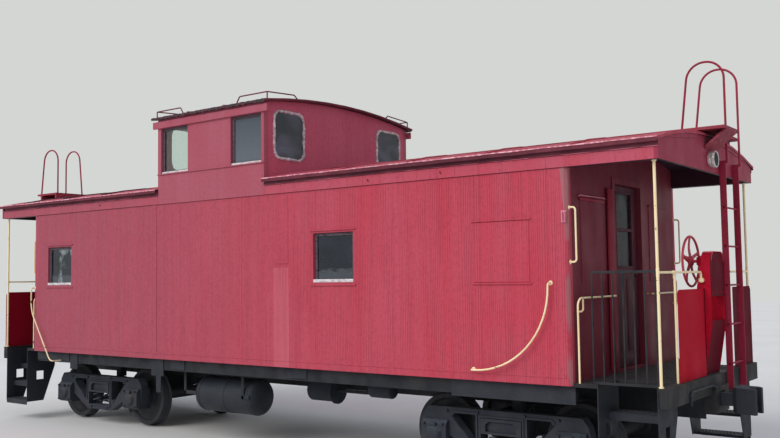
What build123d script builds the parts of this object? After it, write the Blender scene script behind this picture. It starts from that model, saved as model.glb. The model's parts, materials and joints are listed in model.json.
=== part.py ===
from build123d import *
import math
import os

os.makedirs("parts", exist_ok=True)

# Frame: X runs along the car, Y across it, Z up. The origin is on the ground under
# the middle of the car. End A is at +X and end B at -X. Lengths are millimetres, and
# names that end in _UP are heights above the bottom of the body.

# Fits
SEAT_GAP = 0.3
RUN_GAP = 0.4

# Sides of what is round
BAR_SIDES = 6
SHAFT_SIDES = 10
DRUM_SIDES = 16
WHEEL_SIDES = 18
ARCH_CHORDS = 8

# Wheels and axles
TREAD_R = 419
FLANGE = 25
FLANGE_W = 34
RIM_W = 140
RIM_T = 62
PLATE_T = 28
DISH = 17
HUB_R = 125
HUB_OUT = 20
TREAD_TAPER = 3
WHEEL_BACK = 676
AXLE_R = 80
JOURNAL_R = 68
JOURNAL_END = 1062

# Trucks
TRUCK_X = 3580
WHEELBASE = 1676
FRAME_Y = 985
FRAME_T = 130
FRAME_TOP = 740
FRAME_BOTTOM = 222
FRAME_FLAT = 300
FRAME_END = 1040
FRAME_SHOULDER = 90
RIB_W = 22
RIB_OUT = 12
OPENING_W = 512
OPENING_LOW = 294
OPENING_TOP = 657
WINDOW_IN = 318
WINDOW_OUT = 625
WINDOW_TOP = 680
WINDOW_LOW = 372
BOX_W = 330
BOX_H = 300
BOX_IN = 860
BOX_OUT = 1120
BOX_EASE = 45
COVER_R = 112
COVER_T = 28
BORE_PAST = 12
BOLSTER_GAP = 6
BOLSTER_END = 1070
BOLSTER_SEAT = 484
BOLSTER_TOP = 655
POCKET_DEEP = 40
SPRING_R = 60
SPRING_WIRE = 15
SPRING_TURNS = 2
SPRING_CHORDS = 6
SPRING_X = 125
CENTRE_PLATE_R = 175
CENTRE_PLATE_T = 40
SIDE_BEARING_Y = 640
SIDE_BEARING_W = 110
SIDE_BEARING_Z = 700
SIDE_BEARING_GAP = 8
BRAKE_GAP = 15
SHOE_T = 45
SHOE_W = 90
SHOE_SPAN = 40
BEAM_R = 30
BEAM_Z = 330
BEAM_SUNK = 10

# Body shell
SILL_Z = 1120
BODY_L = 9300
BODY_W = 3050
WALL = 90
CORNER_R = 60
SEAM_UP = 2146
LETTER_H = 116
EAVE_H = 88
LETTER_PROUD = 15
PORCH_L = 935
ROOF_OVER = 50
ROOF_PAST = 15
ROOF_T = 30
ROOF_RISE = 200
FASCIA_T = 40
CAP_T = 8
FLOOR_UP = 60
FLOOR_T = 50
BEAD_UP = 74
BEAD_H = 22
BEAD_OUT = 5

# Cupola
CUP_X0 = -1571
CUP_X1 = 507
CUP_WALL = 80
CUP_FASCIA_H = 96
CUP_FASCIA_T = 28
CUP_OVER = 78
CUP_EAVE_H = 57
CUP_RISE = 130
CUP_ROOF_T = 30
CUP_SILL_H = 217
CUP_WIN_W = 560
CUP_WIN_H = 640
CUP_WIN_IN_B = 68
CUP_WIN_IN_A = 49
END_WIN_Y = 1075
END_WIN_H_UP = 378
END_WIN_W = 560
END_WIN_H = 620
END_WIN_R = 115
GASKET_W = 42
GASKET_T = 20

# Windows and doors
WIN_W = 620
WIN_H = 590
WIN_SILL_UP = 1035
FRAME_SET = 34
FRAME_W = 38
FRAME_D = 36
GLASS_T = 8
LEDGE_OUT = 16
LEDGE_H = 16
LEDGE_PAST = 40
PLATE_PROUD = 7
DOOR_W = 716
DOOR_T = 44
DOOR_LOW = 10
DOOR_H = 1990
DOOR_GAP = 8
HINGE_R = 10
HINGE_L = 100
HINGE_STRAP = 65
HINGE_IN = 200
DOOR_GLASS_W = 460
DOOR_GLASS_H = 840
DOOR_GLASS_DOWN = 60
CASING_W = 70
CASING_OUT = 14
END_PLATE_Y = 930
END_PLATE_W = 610
END_PLATE_UP = 1000
END_PLATE_H = 870

# Porches
DECK_UP = 30
DECK_T = 40
END_SILL_T = 90
END_SILL_H = 190
WELL_IN = 250
WELL_L = 580
WELL_Y = 985
STEP_BOTTOM = 290
STEP_RISE = 270
STEP_COUNT = 3
STEP_LIP = 45
TREAD_D = 250
TREAD_T = 28
STRINGER_T = 10
POST_IN = 70
POST_Y = 1462
POST_R = 19
RAIL_R = 15
RAIL_UP = 1095
RAIL_END_DROP = 85
INNER_POST_Y = 1015
FLANGE_R = 30
FLANGE_T = 12
PANEL_T = 6
PANEL_H = 895
PANEL_CUT = 40
GATE_TOP_UP = 1117
GATE_RAIL = 24
GATE_BAR = 14
GATE_PITCH = 100

# Ladders and roof walkways
LADDER_Y0 = 300
LADDER_Y1 = 775
STILE_D = 70
STILE_T = 14
STILE_PAST = 150
RUNG_R = 11
RUNG_FIRST = 80
RUNG_PITCH = 420
WALK_CLEAR = 20
WALK_T = 30
WALK_W = 520
WALK_OVER = 238
LANDING_L = 560
LANDING_Y = 870
CLEAT_W = 40
CLEAT_PITCH = 1250
KNEE_W = 380
KNEE_DROP = 165
HOOP_R = 14
HOOP_H = 805
HOOP_L = 485
HOOP_RAKE = 95
HOOP_BEND = 170
HOOP_DROP = 250

# Hand brake
HOUSING_OUT = 19
HOUSING_D = 94
HOUSING_W = 470
HOUSING_Y = 35
HOUSING_H = 460
HOUSING_TOP_UP = 1300
HOUSING_R = 90
HOUSING_PLATE_T = 12
HAND_WHEEL_R = 280
HAND_RIM = 22
HAND_WHEEL_UP = 1210
HAND_BRACKET = 106
HAND_WHEEL_OFF = 74
HAND_SPOKES = 5
HAND_SPOKE_W = 34
HAND_SPOKE_T = 12
HAND_SPOKE_TURN = 20
HAND_HUB_R = 42
HAND_HUB_L = 44
HAND_SHAFT_R = 16

# Grab irons and lamps
GRAB_R = 14
GRAB_OUT = 65
GRAB_UP = 1210
GRAB_H = 540
FLOOR_RAIL_UP = 855
FLOOR_RAIL_Y = 520
LAMP_R = 90
LAMP_D = 75
LAMP_RIM = 14
LAMP_UP = 2280
CUP_RAIL_R = 9
CUP_RAIL_H = 90
CUP_RAIL_IN = 50
CUP_RAIL_L = 560
CUP_RAIL_SLANT = 60
CUP_RAIL_RISE = 78

# Underframe
FRAME_DOWN = 10
CENTRE_SILL_W = 330
CENTRE_SILL_BOTTOM = 700
CENTRE_SILL_WALL = 14
BOLSTER_BEAM_W = 360
BOLSTER_BEAM_H = 250
BEARER_W = 110
BEARER_XS = (-1333, -198, 1250, 1940)
BEARER_H = 200
BEARER_TIP = 110
SIDE_SILL_H = 150
SIDE_SILL_T = 60
SKIRT_T = 12
DRUM_R = 238
DRUM_X = -618
DRUM_L = 1176
DRUM_Y = 1000
DRUM_DOWN = 486
DRUM_DOME = 75
HANGER_W = 46
HANGER_T = 12
SMALL_DRUM_R = 100
SMALL_DRUM_L = 360
SMALL_DRUM_DOWN = 255
CYLINDER_X = 640
CYLINDER_Y = 560
CYLINDER_DOWN = 380
CYLINDER_R = 150
CYLINDER_L = 420
CYLINDER_FLANGE = 25
PUSH_ROD_R = 22
PUSH_ROD_L = 520
COUPLER_H = 876
COUPLER_L = 425
SHANK = 130
SHANK_GAP = 12
STRIKER_OUT = 40
STRIKER_W = 420
LEVER_R = 13
LEVER_Y = -900

# Sizes that follow from those above
HALF_L = BODY_L / 2
HALF_W = BODY_W / 2
INNER_L = HALF_L - WALL
INNER_W = HALF_W - WALL
ROOF_END = HALF_L + PORCH_L
SEAM_Z = SILL_Z + SEAM_UP
LETTER_TOP = SEAM_Z + LETTER_H
EAVE_Z = LETTER_TOP + EAVE_H
LETTER_Y = HALF_W + LETTER_PROUD
ROOF_HALF_W = LETTER_Y + ROOF_OVER
CROWN_Z = EAVE_Z + ROOF_RISE
CUP_SILL_Z = EAVE_Z + CUP_SILL_H
CUP_FASCIA_Z = CUP_SILL_Z + CUP_WIN_H
CUP_EAVE_Z = CUP_FASCIA_Z + CUP_FASCIA_H + CUP_EAVE_H
FLOOR_Z = SILL_Z + FLOOR_UP
DECK_Z = SILL_Z + DECK_UP
END_SILL_X = ROOF_END - END_SILL_T
DECK_Y = POST_Y + POST_R
WELL_X0 = HALF_L + WELL_IN
WELL_X1 = WELL_X0 + WELL_L
POST_X = ROOF_END - POST_IN
WALK_Z = CROWN_Z + WALK_CLEAR + WALK_T
AXLE_Z = TREAD_R + FLANGE
COUPLER_Z = COUPLER_H + FLANGE


def block(x0, x1, y0, y1, z0, z1):
    """Box between two corners"""
    return Pos((x0 + x1) / 2, (y0 + y1) / 2, (z0 + z1) / 2) * Box(x1 - x0, y1 - y0, z1 - z0)


def plate_xy(points, z0, z1):
    """Outline in X and Y, thick from z0 to z1"""
    return Pos(0, 0, z0) * extrude(make_face(Polyline(*points, close=True)), amount=z1 - z0, dir=(0, 0, 1))


def plate_xz(points, y0, y1):
    """Outline in X and Z, thick from y0 to y1"""
    face = Plane.XZ * make_face(Polyline(*points, close=True))
    return Pos(0, y0, 0) * extrude(face, amount=y1 - y0, dir=(0, 1, 0))


def plate_yz(points, x0, x1):
    """Outline in Y and Z, thick from x0 to x1"""
    face = Plane.YZ * make_face(Polyline(*points, close=True))
    return Pos(x0, 0, 0) * extrude(face, amount=x1 - x0, dir=(1, 0, 0))


def eased(points, bend, steps):
    """Points of a path whose corners are rounded to the bend radius by short chords"""
    path = [Vector(*points[0])]
    for before, here, after in zip(points, points[1:], points[2:]):
        corner = Vector(*here)
        back = (Vector(*before) - corner).normalized()
        ahead = (Vector(*after) - corner).normalized()
        turn = math.pi - math.radians(back.get_angle(ahead))
        reach = bend * math.tan(turn / 2)
        centre = corner + (back + ahead).normalized() * (bend / math.cos(turn / 2))
        first = corner + back * reach - centre
        last = corner + ahead * reach - centre
        for step in range(steps + 1):
            part = step / steps * turn
            arm = first * math.sin(turn - part) + last * math.sin(part)
            path.append(centre + arm * (1 / math.sin(turn)))
    path.append(Vector(*points[-1]))
    return path


def bar(radius, *points, bend=60, steps=2, sides=BAR_SIDES):
    """Round bar along straight runs with eased corners"""
    path = Polyline(*eased(points, bend, steps))
    return sweep((path ^ 0) * RegularPolygon(radius, sides), path=path, transition=Transition.RIGHT)


def turned_y(sides, *rings):
    """Turned body about the Y axis through rings of a radius and a place along Y"""
    body = Part()
    for (r0, y0), (r1, y1) in zip(rings, rings[1:]):
        face = Plane(origin=(0, y0, 0), z_dir=(0, 1, 0)) * RegularPolygon(r0, sides)
        slope = (r0 - r1) * math.cos(math.pi / sides) / (y1 - y0)
        body += extrude(face, amount=y1 - y0, taper=math.degrees(math.atan(slope)))
    return body


def turned_x(sides, *rings):
    """Turned body about the X axis through rings of a radius and a place along X"""
    return Rot(0, 0, -90) * turned_y(sides, *rings)


def soft_outline(width, height, radius, steps=2):
    """Rectangle about the origin whose corners are eased by short chords"""
    points = []
    for sx, sy, start in ((1, 1, 0), (-1, 1, 90), (-1, -1, 180), (1, -1, 270)):
        for step in range(steps + 1):
            angle = math.radians(start + 90 * step / steps)
            points.append((
                sx * (width / 2 - radius) + radius * math.cos(angle),
                sy * (height / 2 - radius) + radius * math.sin(angle),
            ))
    return points


def half_turn(shape):
    """The same shape at the other end of the car"""
    return Rot(0, 0, 180) * shape


def both_ends(*shapes):
    """Shapes of end A with their half-turned copies at end B"""
    return [turned for shape in shapes for turned in (shape, half_turn(shape))]


def both_sides(*shapes):
    """Shapes of the near side with their mirror images"""
    return [either for shape in shapes for either in (shape, shape.mirror(Plane.XZ))]


def arch_points(half, eave, rise):
    """Points of a shallow arc across the car from the near eave over the crown"""
    radius = (half ** 2 + rise ** 2) / (2 * rise)
    reach = math.asin(half / radius)
    angles = [reach * (2 * count / ARCH_CHORDS - 1) for count in range(ARCH_CHORDS + 1)]
    return [(radius * math.sin(a), eave + rise - radius * (1 - math.cos(a))) for a in angles]


def arch(half, eave, rise, thick, x0, x1):
    """Roof sheet of even thickness from x0 to x1"""
    top = arch_points(half, eave, rise)
    return plate_yz(top + [(y, z - thick) for y, z in reversed(top)], x0, x1)


def under_arch(half, eave, rise, x0, x1):
    """All the room below an arch, used to trim walls and feet to the roof"""
    return plate_yz(arch_points(half, eave, rise) + [(half, 0), (-half, 0)], x0, x1)


def save(node, *shapes):
    """Write one node, whose solids may stand apart"""
    solids = [solid for shape in shapes for solid in shape.solids()]
    export_step(Compound(solids), f"parts/{node}.step")


MAIN_ROOM = under_arch(ROOF_HALF_W, EAVE_Z - ROOF_T - SEAT_GAP, ROOF_RISE, -ROOF_END, ROOF_END)
CUP_ROOM = under_arch(
    ROOF_HALF_W, CUP_EAVE_Z - CUP_ROOF_T - SEAT_GAP, CUP_RISE, CUP_X0 - CUP_OVER, CUP_X1 + CUP_OVER
)

# Side windows of the near side: middle in X, and whether a plate closes it
SIDE_WINDOWS = [(-HALF_L + 695, False), (HALF_L - 3030, False), (HALF_L - 755, True)]

# Laps and patches welded on the near side: x0, x1, bottom and top above the sill
NEAR_PATCHES = [(645, 900, 1270, 2120), (-1720, -1610, BEAD_UP + BEAD_H, SEAM_UP)]


def window_box(middle, y0, y1, shrink=0):
    """Room of one side window between two depths, smaller by shrink all round"""
    low = SILL_Z + WIN_SILL_UP
    half = WIN_W / 2 - shrink
    return block(middle - half, middle + half, y0, y1, low + shrink, low + WIN_H - shrink)


def side_wall():
    """Near side: rounded ends, window openings with drip ledges, plates and the sill bead"""
    wall = block(-HALF_L, HALF_L, -HALF_W, -INNER_W, SILL_Z, SEAM_Z)
    wall = chamfer(wall.edges().filter_by(Axis.Z).group_by(Axis.Y)[0], CORNER_R / 2)
    bead_z = SILL_Z + BEAD_UP
    reach = HALF_L - CORNER_R
    wall += block(-reach, reach, -HALF_W - BEAD_OUT, -HALF_W, bead_z, bead_z + BEAD_H)
    low = SILL_Z + WIN_SILL_UP
    for middle, plated in SIDE_WINDOWS:
        half = WIN_W / 2 + LEDGE_PAST
        for z in (low - LEDGE_PAST, low + WIN_H + LEDGE_PAST - LEDGE_H):
            wall += block(middle - half, middle + half, -HALF_W - LEDGE_OUT, -HALF_W, z, z + LEDGE_H)
        if plated:
            wall += window_box(middle, -HALF_W - PLATE_PROUD, -HALF_W, -LEDGE_H)
        else:
            wall -= window_box(middle, -HALF_W, -INNER_W)
    return wall


far_wall = half_turn(side_wall())
near_wall = side_wall()
for x0, x1, low, high in NEAR_PATCHES:
    near_wall += block(x0, x1, -HALF_W - BEAD_OUT, -HALF_W, SILL_Z + low, SILL_Z + high)
save("side_wall_near", near_wall)
save("side_wall_far", far_wall)


def framed_pane(box, middle, y):
    """Window frame ring set back in its opening, and the pane inside it"""
    y0 = y + FRAME_SET
    ring = box(middle, y0, y0 + FRAME_D) - box(middle, y0, y0 + FRAME_D, FRAME_W)
    pane_y = y0 + (FRAME_D - GLASS_T) / 2
    return ring, box(middle, pane_y, pane_y + GLASS_T, FRAME_W)


side_frames, panes = [], []
for middle, plated in SIDE_WINDOWS:
    if not plated:
        ring, pane = framed_pane(window_box, middle, -HALF_W)
        side_frames += both_ends(ring)
        panes += both_ends(pane)


def end_wall():
    """End wall A between the side walls: doorway, casing, and plated windows under drip ledges"""
    wall = block(INNER_L, HALF_L, -INNER_W, INNER_W, SILL_Z, CROWN_Z) & MAIN_ROOM
    half = DOOR_W / 2 + DOOR_GAP
    low = FLOOR_Z + DOOR_LOW - DOOR_GAP
    high = FLOOR_Z + DOOR_LOW + DOOR_H + DOOR_GAP
    wall += block(HALF_L, HALF_L + CASING_OUT, -half - CASING_W, half + CASING_W, low, high + CASING_W)
    wall -= block(INNER_L, HALF_L + CASING_OUT, -half, half, low, high)
    z0 = SILL_Z + END_PLATE_UP
    z1 = z0 + END_PLATE_H
    for middle in (-END_PLATE_Y, END_PLATE_Y):
        y0, y1 = middle - END_PLATE_W / 2, middle + END_PLATE_W / 2
        wall += block(HALF_L, HALF_L + PLATE_PROUD, y0, y1, z0, z1)
        wall += block(HALF_L, HALF_L + LEDGE_OUT + PLATE_PROUD, y0 - LEDGE_H, y1 + LEDGE_H, z1, z1 + LEDGE_H)
    return wall


end_a = end_wall()
save("end_wall_a", end_a)
save("end_wall_b", half_turn(end_a))

# Doors open into the cabin on pins at their near edge
HINGE_X = INNER_L - HINGE_R - SEAT_GAP
HINGE_Y = DOOR_W / 2 + DOOR_GAP


def door():
    """Door leaf A with its window opening and three hinges, and the pane"""
    low = FLOOR_Z + DOOR_LOW
    high = low + DOOR_H
    leaf = block(INNER_L, INNER_L + DOOR_T, -DOOR_W / 2, DOOR_W / 2, low, high)
    glass_top = high - DOOR_GLASS_DOWN
    glass_low = glass_top - DOOR_GLASS_H
    half = DOOR_GLASS_W / 2
    leaf -= block(INNER_L, INNER_L + DOOR_T, -half, half, glass_low, glass_top)
    middle = INNER_L + DOOR_T / 2
    pane = block(middle - GLASS_T / 2, middle + GLASS_T / 2, -half, half, glass_low, glass_top)
    for z in (low + HINGE_IN, (low + high) / 2, high - HINGE_IN):
        z0, z1 = z - HINGE_L / 2, z + HINGE_L / 2
        leaf += bar(HINGE_R, (HINGE_X, -HINGE_Y, z0), (HINGE_X, -HINGE_Y, z1), sides=8)
        leaf += block(HINGE_X, INNER_L, -HINGE_Y + SEAT_GAP, -HINGE_Y + HINGE_STRAP, z0, z1)
    return leaf, pane


leaf, door_pane = door()
save("door_a", leaf)
save("door_glass_a", door_pane)
save("door_b", half_turn(leaf))
save("door_glass_b", half_turn(door_pane))


def letterboard(x0, x1):
    """Near letterboard: a proud board with a set-back rail above it, trimmed to the roof"""
    board = block(x0, x1, -LETTER_Y, -INNER_W, SEAM_Z, LETTER_TOP)
    board += block(x0, x1, -HALF_W, -INNER_W, LETTER_TOP, CROWN_Z)
    return board & MAIN_ROOM


board_end = ROOF_END - FASCIA_T
save(
    "letterboards",
    *both_sides(letterboard(-board_end, CUP_X0), letterboard(CUP_X1, board_end)),
)


def end_fascia():
    """Fascia A under the roof end, with a lapped cap sheet on either side"""
    fascia = block(board_end, ROOF_END, -LETTER_Y, LETTER_Y, SEAM_Z, CROWN_Z)
    corner_z, inner_z, inner_y = LETTER_TOP + 85, EAVE_Z + 117, 397
    cap = plate_yz(
        [(-LETTER_Y, corner_z), (-inner_y, inner_z), (-inner_y, CROWN_Z), (-LETTER_Y, CROWN_Z)],
        ROOF_END, ROOF_END + CAP_T,
    )
    cap &= under_arch(ROOF_HALF_W, EAVE_Z - ROOF_T - SEAT_GAP, ROOF_RISE, ROOF_END, ROOF_END + CAP_T)
    return (fascia & MAIN_ROOM) + cap + cap.mirror(Plane.XZ)


save("end_fascias", *both_ends(end_fascia()))

# Main roof on either side of the cupola
save("roof_a", arch(ROOF_HALF_W, EAVE_Z, ROOF_RISE, ROOF_T, CUP_X1, ROOF_END + ROOF_PAST))
save("roof_b", arch(ROOF_HALF_W, EAVE_Z, ROOF_RISE, ROOF_T, -ROOF_END - ROOF_PAST, CUP_X0))

# Cupola side windows by their middle in X
CUP_WINDOWS = (CUP_X0 + CUP_WIN_IN_B + CUP_WIN_W / 2, CUP_X1 - CUP_WIN_IN_A - CUP_WIN_W / 2)


def cupola_window_box(middle, y0, y1, shrink=0):
    """Room of one cupola side window between two depths"""
    half = CUP_WIN_W / 2 - shrink
    return block(middle - half, middle + half, y0, y1, CUP_SILL_Z + shrink, CUP_FASCIA_Z - shrink)


def cupola_side():
    """Near cupola side, flush with the letterboards, with a window ledge and a fascia"""
    wall = block(CUP_X0, CUP_X1, -LETTER_Y, -LETTER_Y + CUP_WALL, SEAM_Z, CUP_EAVE_Z + CUP_RISE)
    x0, x1 = CUP_X0 - CUP_OVER, CUP_X1 + CUP_OVER
    wall += block(x0, x1, -LETTER_Y - CUP_FASCIA_T, -LETTER_Y, CUP_FASCIA_Z, CUP_FASCIA_Z + CUP_FASCIA_H)
    wall += block(CUP_X0, CUP_X1, -LETTER_Y - LEDGE_OUT, -LETTER_Y, CUP_SILL_Z - LEDGE_H, CUP_SILL_Z)
    for middle in CUP_WINDOWS:
        wall -= cupola_window_box(middle, -LETTER_Y, -LETTER_Y + CUP_WALL)
    return wall & CUP_ROOM


save("cupola_sides", *both_sides(cupola_side()))
for middle in CUP_WINDOWS:
    ring, pane = framed_pane(cupola_window_box, middle, -LETTER_Y)
    side_frames += both_sides(ring)
    panes += both_sides(pane)
save("window_frames", *side_frames)


def end_window(y, grow, radius, x0, x1):
    """Room of one soft-cornered cupola end window, larger by grow all round"""
    outline = soft_outline(END_WIN_W + 2 * grow, END_WIN_H + 2 * grow, radius)
    up = CUP_SILL_Z + END_WIN_H_UP
    return plate_yz([(y + dy, up + dz) for dy, dz in outline], x0, x1)


def cupola_end(x0, outward):
    """Cupola end wall from x0 outward, its gaskets and its panes"""
    x1 = x0 + outward * CUP_WALL
    low, high = sorted((x0, x1))
    inner = LETTER_Y - CUP_WALL
    wall = block(low, high, -inner, inner, SEAM_Z, CUP_EAVE_Z + CUP_RISE) & CUP_ROOM
    rings, glass = [], []
    half = GASKET_W / 2
    g0, g1 = sorted((x1, x1 + outward * GASKET_T))
    p0, p1 = sorted((x1, x1 - outward * GLASS_T))
    for y in (-END_WIN_Y, END_WIN_Y):
        wall -= end_window(y, 0, END_WIN_R, low, high)
        rings.append(
            end_window(y, half, END_WIN_R + half, g0, g1) - end_window(y, -half, END_WIN_R - half, g0, g1)
        )
        glass.append(end_window(y, -SEAT_GAP, END_WIN_R, p0, p1))
    return wall, rings, glass


end_walls, gaskets = [], []
for x0, outward in ((CUP_X1 - CUP_WALL, 1), (CUP_X0 + CUP_WALL, -1)):
    wall, rings, glass = cupola_end(x0, outward)
    end_walls.append(wall)
    gaskets += rings
    panes += glass
save("cupola_ends", *end_walls)
save("cupola_gaskets", *gaskets)
save("window_glass", *panes)
save(
    "cupola_roof",
    arch(ROOF_HALF_W, CUP_EAVE_Z, CUP_RISE, CUP_ROOF_T, CUP_X0 - CUP_OVER, CUP_X1 + CUP_OVER),
)

# Cupola inside: lockers on the floor carry the raised seats
LOCKER_Y0 = 760
LOCKER_Y1 = 1420
LOCKER_TOP = CUP_SILL_Z - 500
SEAT_D = 430
SEAT_T = 90
BACK_H = 560
BACK_T = 90
SEAT_EDGE = 60


def cupola_seat(back_x, forward):
    """Near seat: a cushion and an upright back"""
    y0, y1 = -LOCKER_Y1 + SEAT_EDGE, -LOCKER_Y0 - SEAT_EDGE
    b0, b1 = sorted((back_x, back_x + forward * BACK_T))
    s0, s1 = sorted((back_x + forward * BACK_T, back_x + forward * (BACK_T + SEAT_D)))
    cushion = block(s0, s1, y0, y1, LOCKER_TOP, LOCKER_TOP + SEAT_T)
    return cushion + block(b0, b1, y0, y1, LOCKER_TOP, LOCKER_TOP + BACK_H)


locker_x0, locker_x1 = CUP_X0 + CUP_WALL + SEAT_EDGE, CUP_X1 - CUP_WALL - SEAT_EDGE
locker = block(locker_x0, locker_x1, -LOCKER_Y1, -LOCKER_Y0, FLOOR_Z, LOCKER_TOP)
save("cupola_lockers", *both_sides(locker))
save("cupola_seats", *both_sides(cupola_seat(locker_x0, 1), cupola_seat(locker_x1, -1)))
save("cabin_floor", block(-INNER_L, INNER_L, -INNER_W, INNER_W, FLOOR_Z - FLOOR_T, FLOOR_Z))


def porch_deck():
    """Deck A out to the end sill, notched at both step wells, with the coupler's striker"""
    deck = block(HALF_L, END_SILL_X, -DECK_Y, DECK_Y, DECK_Z - DECK_T, DECK_Z)
    for y0, y1 in ((-DECK_Y, -WELL_Y), (WELL_Y, DECK_Y)):
        deck -= block(WELL_X0, WELL_X1, y0, y1, DECK_Z - DECK_T, DECK_Z)
    deck += block(END_SILL_X, ROOF_END, -DECK_Y, DECK_Y, DECK_Z - END_SILL_H, DECK_Z)
    half = SHANK / 2
    face = ROOF_END + STRIKER_OUT
    low, high = COUPLER_Z - half, COUPLER_Z + half
    deck += block(END_SILL_X, face, -STRIKER_W / 2, STRIKER_W / 2, low - 70, high + 70)
    slot_y = half + SHANK_GAP
    return deck - block(END_SILL_X, face, -slot_y, slot_y, low - SEAT_GAP, high + SHANK_GAP)


save("porch_decks", *both_ends(porch_deck()))


def step_well():
    """Near steps of end A: slanted stringers with a lightening hole, and lipped treads"""
    top = DECK_Z - DECK_T
    slope = (DECK_Y - WELL_Y - TREAD_D) / (STEP_COUNT - 1)
    outline = [
        (-DECK_Y, top), (-DECK_Y, STEP_BOTTOM), (-DECK_Y + TREAD_D + STEP_LIP, STEP_BOTTOM),
        (-WELL_Y, top - STEP_RISE), (-WELL_Y, top),
    ]
    hole_z = STEP_BOTTOM + STEP_RISE + TREAD_T + STEP_LIP
    hole_y = -DECK_Y + slope + STEP_LIP
    steps = plate_yz(outline, WELL_X0 - STRINGER_T, WELL_X0)
    steps += plate_yz(outline, WELL_X1, WELL_X1 + STRINGER_T)
    steps -= block(
        WELL_X0 - STRINGER_T, WELL_X1 + STRINGER_T, hole_y, hole_y + TREAD_D / 2, hole_z, hole_z + STEP_RISE / 2
    )
    for count in range(STEP_COUNT):
        y0 = -DECK_Y + count * slope
        z0 = STEP_BOTTOM + count * STEP_RISE
        steps += block(WELL_X0, WELL_X1, y0, y0 + TREAD_D, z0, z0 + TREAD_T)
        steps += block(WELL_X0, WELL_X1, y0, y0 + STRINGER_T, z0 - STEP_LIP, z0)
    return steps


near_steps = step_well()
save("steps_a", *both_sides(near_steps))
save("steps_b", *[half_turn(steps) for steps in both_sides(near_steps)])

# Hand-brake housing at the middle of the end
HOUSING_X1 = ROOF_END + HOUSING_OUT
HOUSING_X0 = HOUSING_X1 - HOUSING_D
HOUSING_Y0 = HOUSING_Y - HOUSING_W / 2
HOUSING_Y1 = HOUSING_Y + HOUSING_W / 2
HOUSING_TOP = SILL_Z + HOUSING_TOP_UP
HAND_Z = SILL_Z + HAND_WHEEL_UP

# Side plate of the housing: distance in from its outer face, and height above the deck
HOUSING_PROFILE = [(84, 0), (-3, 510), (0, 810), (0, 1175), (HOUSING_D, 1175), (145, 910), (180, 0)]


def brake_housing():
    """Gear box with a rounded top between shaped side plates, over a front that slants in to the deck"""
    low = HOUSING_TOP - HOUSING_H
    rounded = [
        (HOUSING_Y + y, (low + HOUSING_TOP) / 2 + z)
        for y, z in soft_outline(HOUSING_W, HOUSING_H, HOUSING_R) if z > 0
    ]
    housing = plate_yz(rounded + [(HOUSING_Y0, low), (HOUSING_Y1, low)], HOUSING_X0, HOUSING_X1)
    side = [(HOUSING_X1 - inset, DECK_Z + up) for inset, up in HOUSING_PROFILE]
    for y in (HOUSING_Y0, HOUSING_Y1 - HOUSING_PLATE_T):
        housing += plate_xz(side, y, y + HOUSING_PLATE_T)
    foot, knee = side[0], side[1]
    shift = HOUSING_PLATE_T
    front = [
        (foot[0] - shift, foot[1]), (knee[0] - shift, knee[1]), (knee[0] - shift, knee[1] + 50),
        (knee[0] - 2 * shift, knee[1] + 50), (knee[0] - 2 * shift, knee[1]), (foot[0] - 2 * shift, foot[1]),
    ]
    housing += plate_xz(front, HOUSING_Y0, HOUSING_Y1)
    nose = HOUSING_X0 - HAND_BRACKET
    bracket = [(HOUSING_X0, HAND_Z - 80), (HOUSING_X0, HAND_Z + 80), (nose, HAND_Z + 40), (nose, HAND_Z - 40)]
    return housing + plate_xz(bracket, HOUSING_Y - 55, HOUSING_Y + 55)


save("brake_housings", *both_ends(brake_housing()))


def hand_wheel():
    """Rim, tapered spokes, hub and the shaft that enters the housing's bracket"""
    nose = HOUSING_X0 - HAND_BRACKET
    x = nose - HAND_WHEEL_OFF
    half = HAND_RIM / 2
    wheel = turned_x(WHEEL_SIDES, (HAND_WHEEL_R, x - half), (HAND_WHEEL_R, x + half))
    inner_r = HAND_WHEEL_R - HAND_RIM
    wheel -= turned_x(WHEEL_SIDES, (inner_r, x - half), (inner_r, x + half))
    wheel += turned_x(
        SHAFT_SIDES, (HAND_HUB_R, x - HAND_HUB_L / 2), (HAND_HUB_R, x), (HAND_SHAFT_R, x + HAND_HUB_L / 2),
        (HAND_SHAFT_R, nose - SEAT_GAP),
    )
    wide, narrow = HAND_SPOKE_W, HAND_SPOKE_W / 2
    spoke = plate_yz(
        [(0, -wide), (inner_r + half, -narrow), (inner_r + half, narrow), (0, wide)],
        x - HAND_SPOKE_T / 2, x + HAND_SPOKE_T / 2,
    )
    for index in range(HAND_SPOKES):
        wheel += Rot(HAND_SPOKE_TURN + index * 360 / HAND_SPOKES, 0, 0) * spoke
    return Pos(0, HOUSING_Y, HAND_Z) * wheel


wheel_a = hand_wheel()
save("brake_wheel_a", wheel_a)
save("brake_wheel_b", half_turn(wheel_a))


def porch_rails():
    """End A: two roof posts, the pipe rail down to the housing, its inner post, and the far rail"""
    rail_z = SILL_Z + RAIL_UP
    flange_y = HOUSING_Y0 - FLANGE_T
    drop_z = rail_z - RAIL_END_DROP
    near = bar(POST_R, (POST_X, -POST_Y, DECK_Z), (POST_X, -POST_Y, SEAM_Z))
    near += bar(
        RAIL_R, (POST_X, -POST_Y, rail_z), (POST_X, flange_y - RAIL_R, rail_z),
        (POST_X, flange_y - RAIL_R, drop_z), bend=30,
    )
    near += bar(RAIL_R, (POST_X, -INNER_POST_Y, DECK_Z), (POST_X, -INNER_POST_Y, rail_z))
    flange = turned_y(8, (FLANGE_R, flange_y - FLANGE_T), (FLANGE_R, flange_y + FLANGE_T - SEAT_GAP))
    near += Pos(POST_X, 0, drop_z) * flange
    far = bar(POST_R, (POST_X, POST_Y, DECK_Z), (POST_X, POST_Y, SEAM_Z))
    far += bar(RAIL_R, (POST_X, LADDER_Y1, rail_z), (POST_X, POST_Y, rail_z))
    return near, far


save("porch_rails", *both_ends(*porch_rails()))


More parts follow.
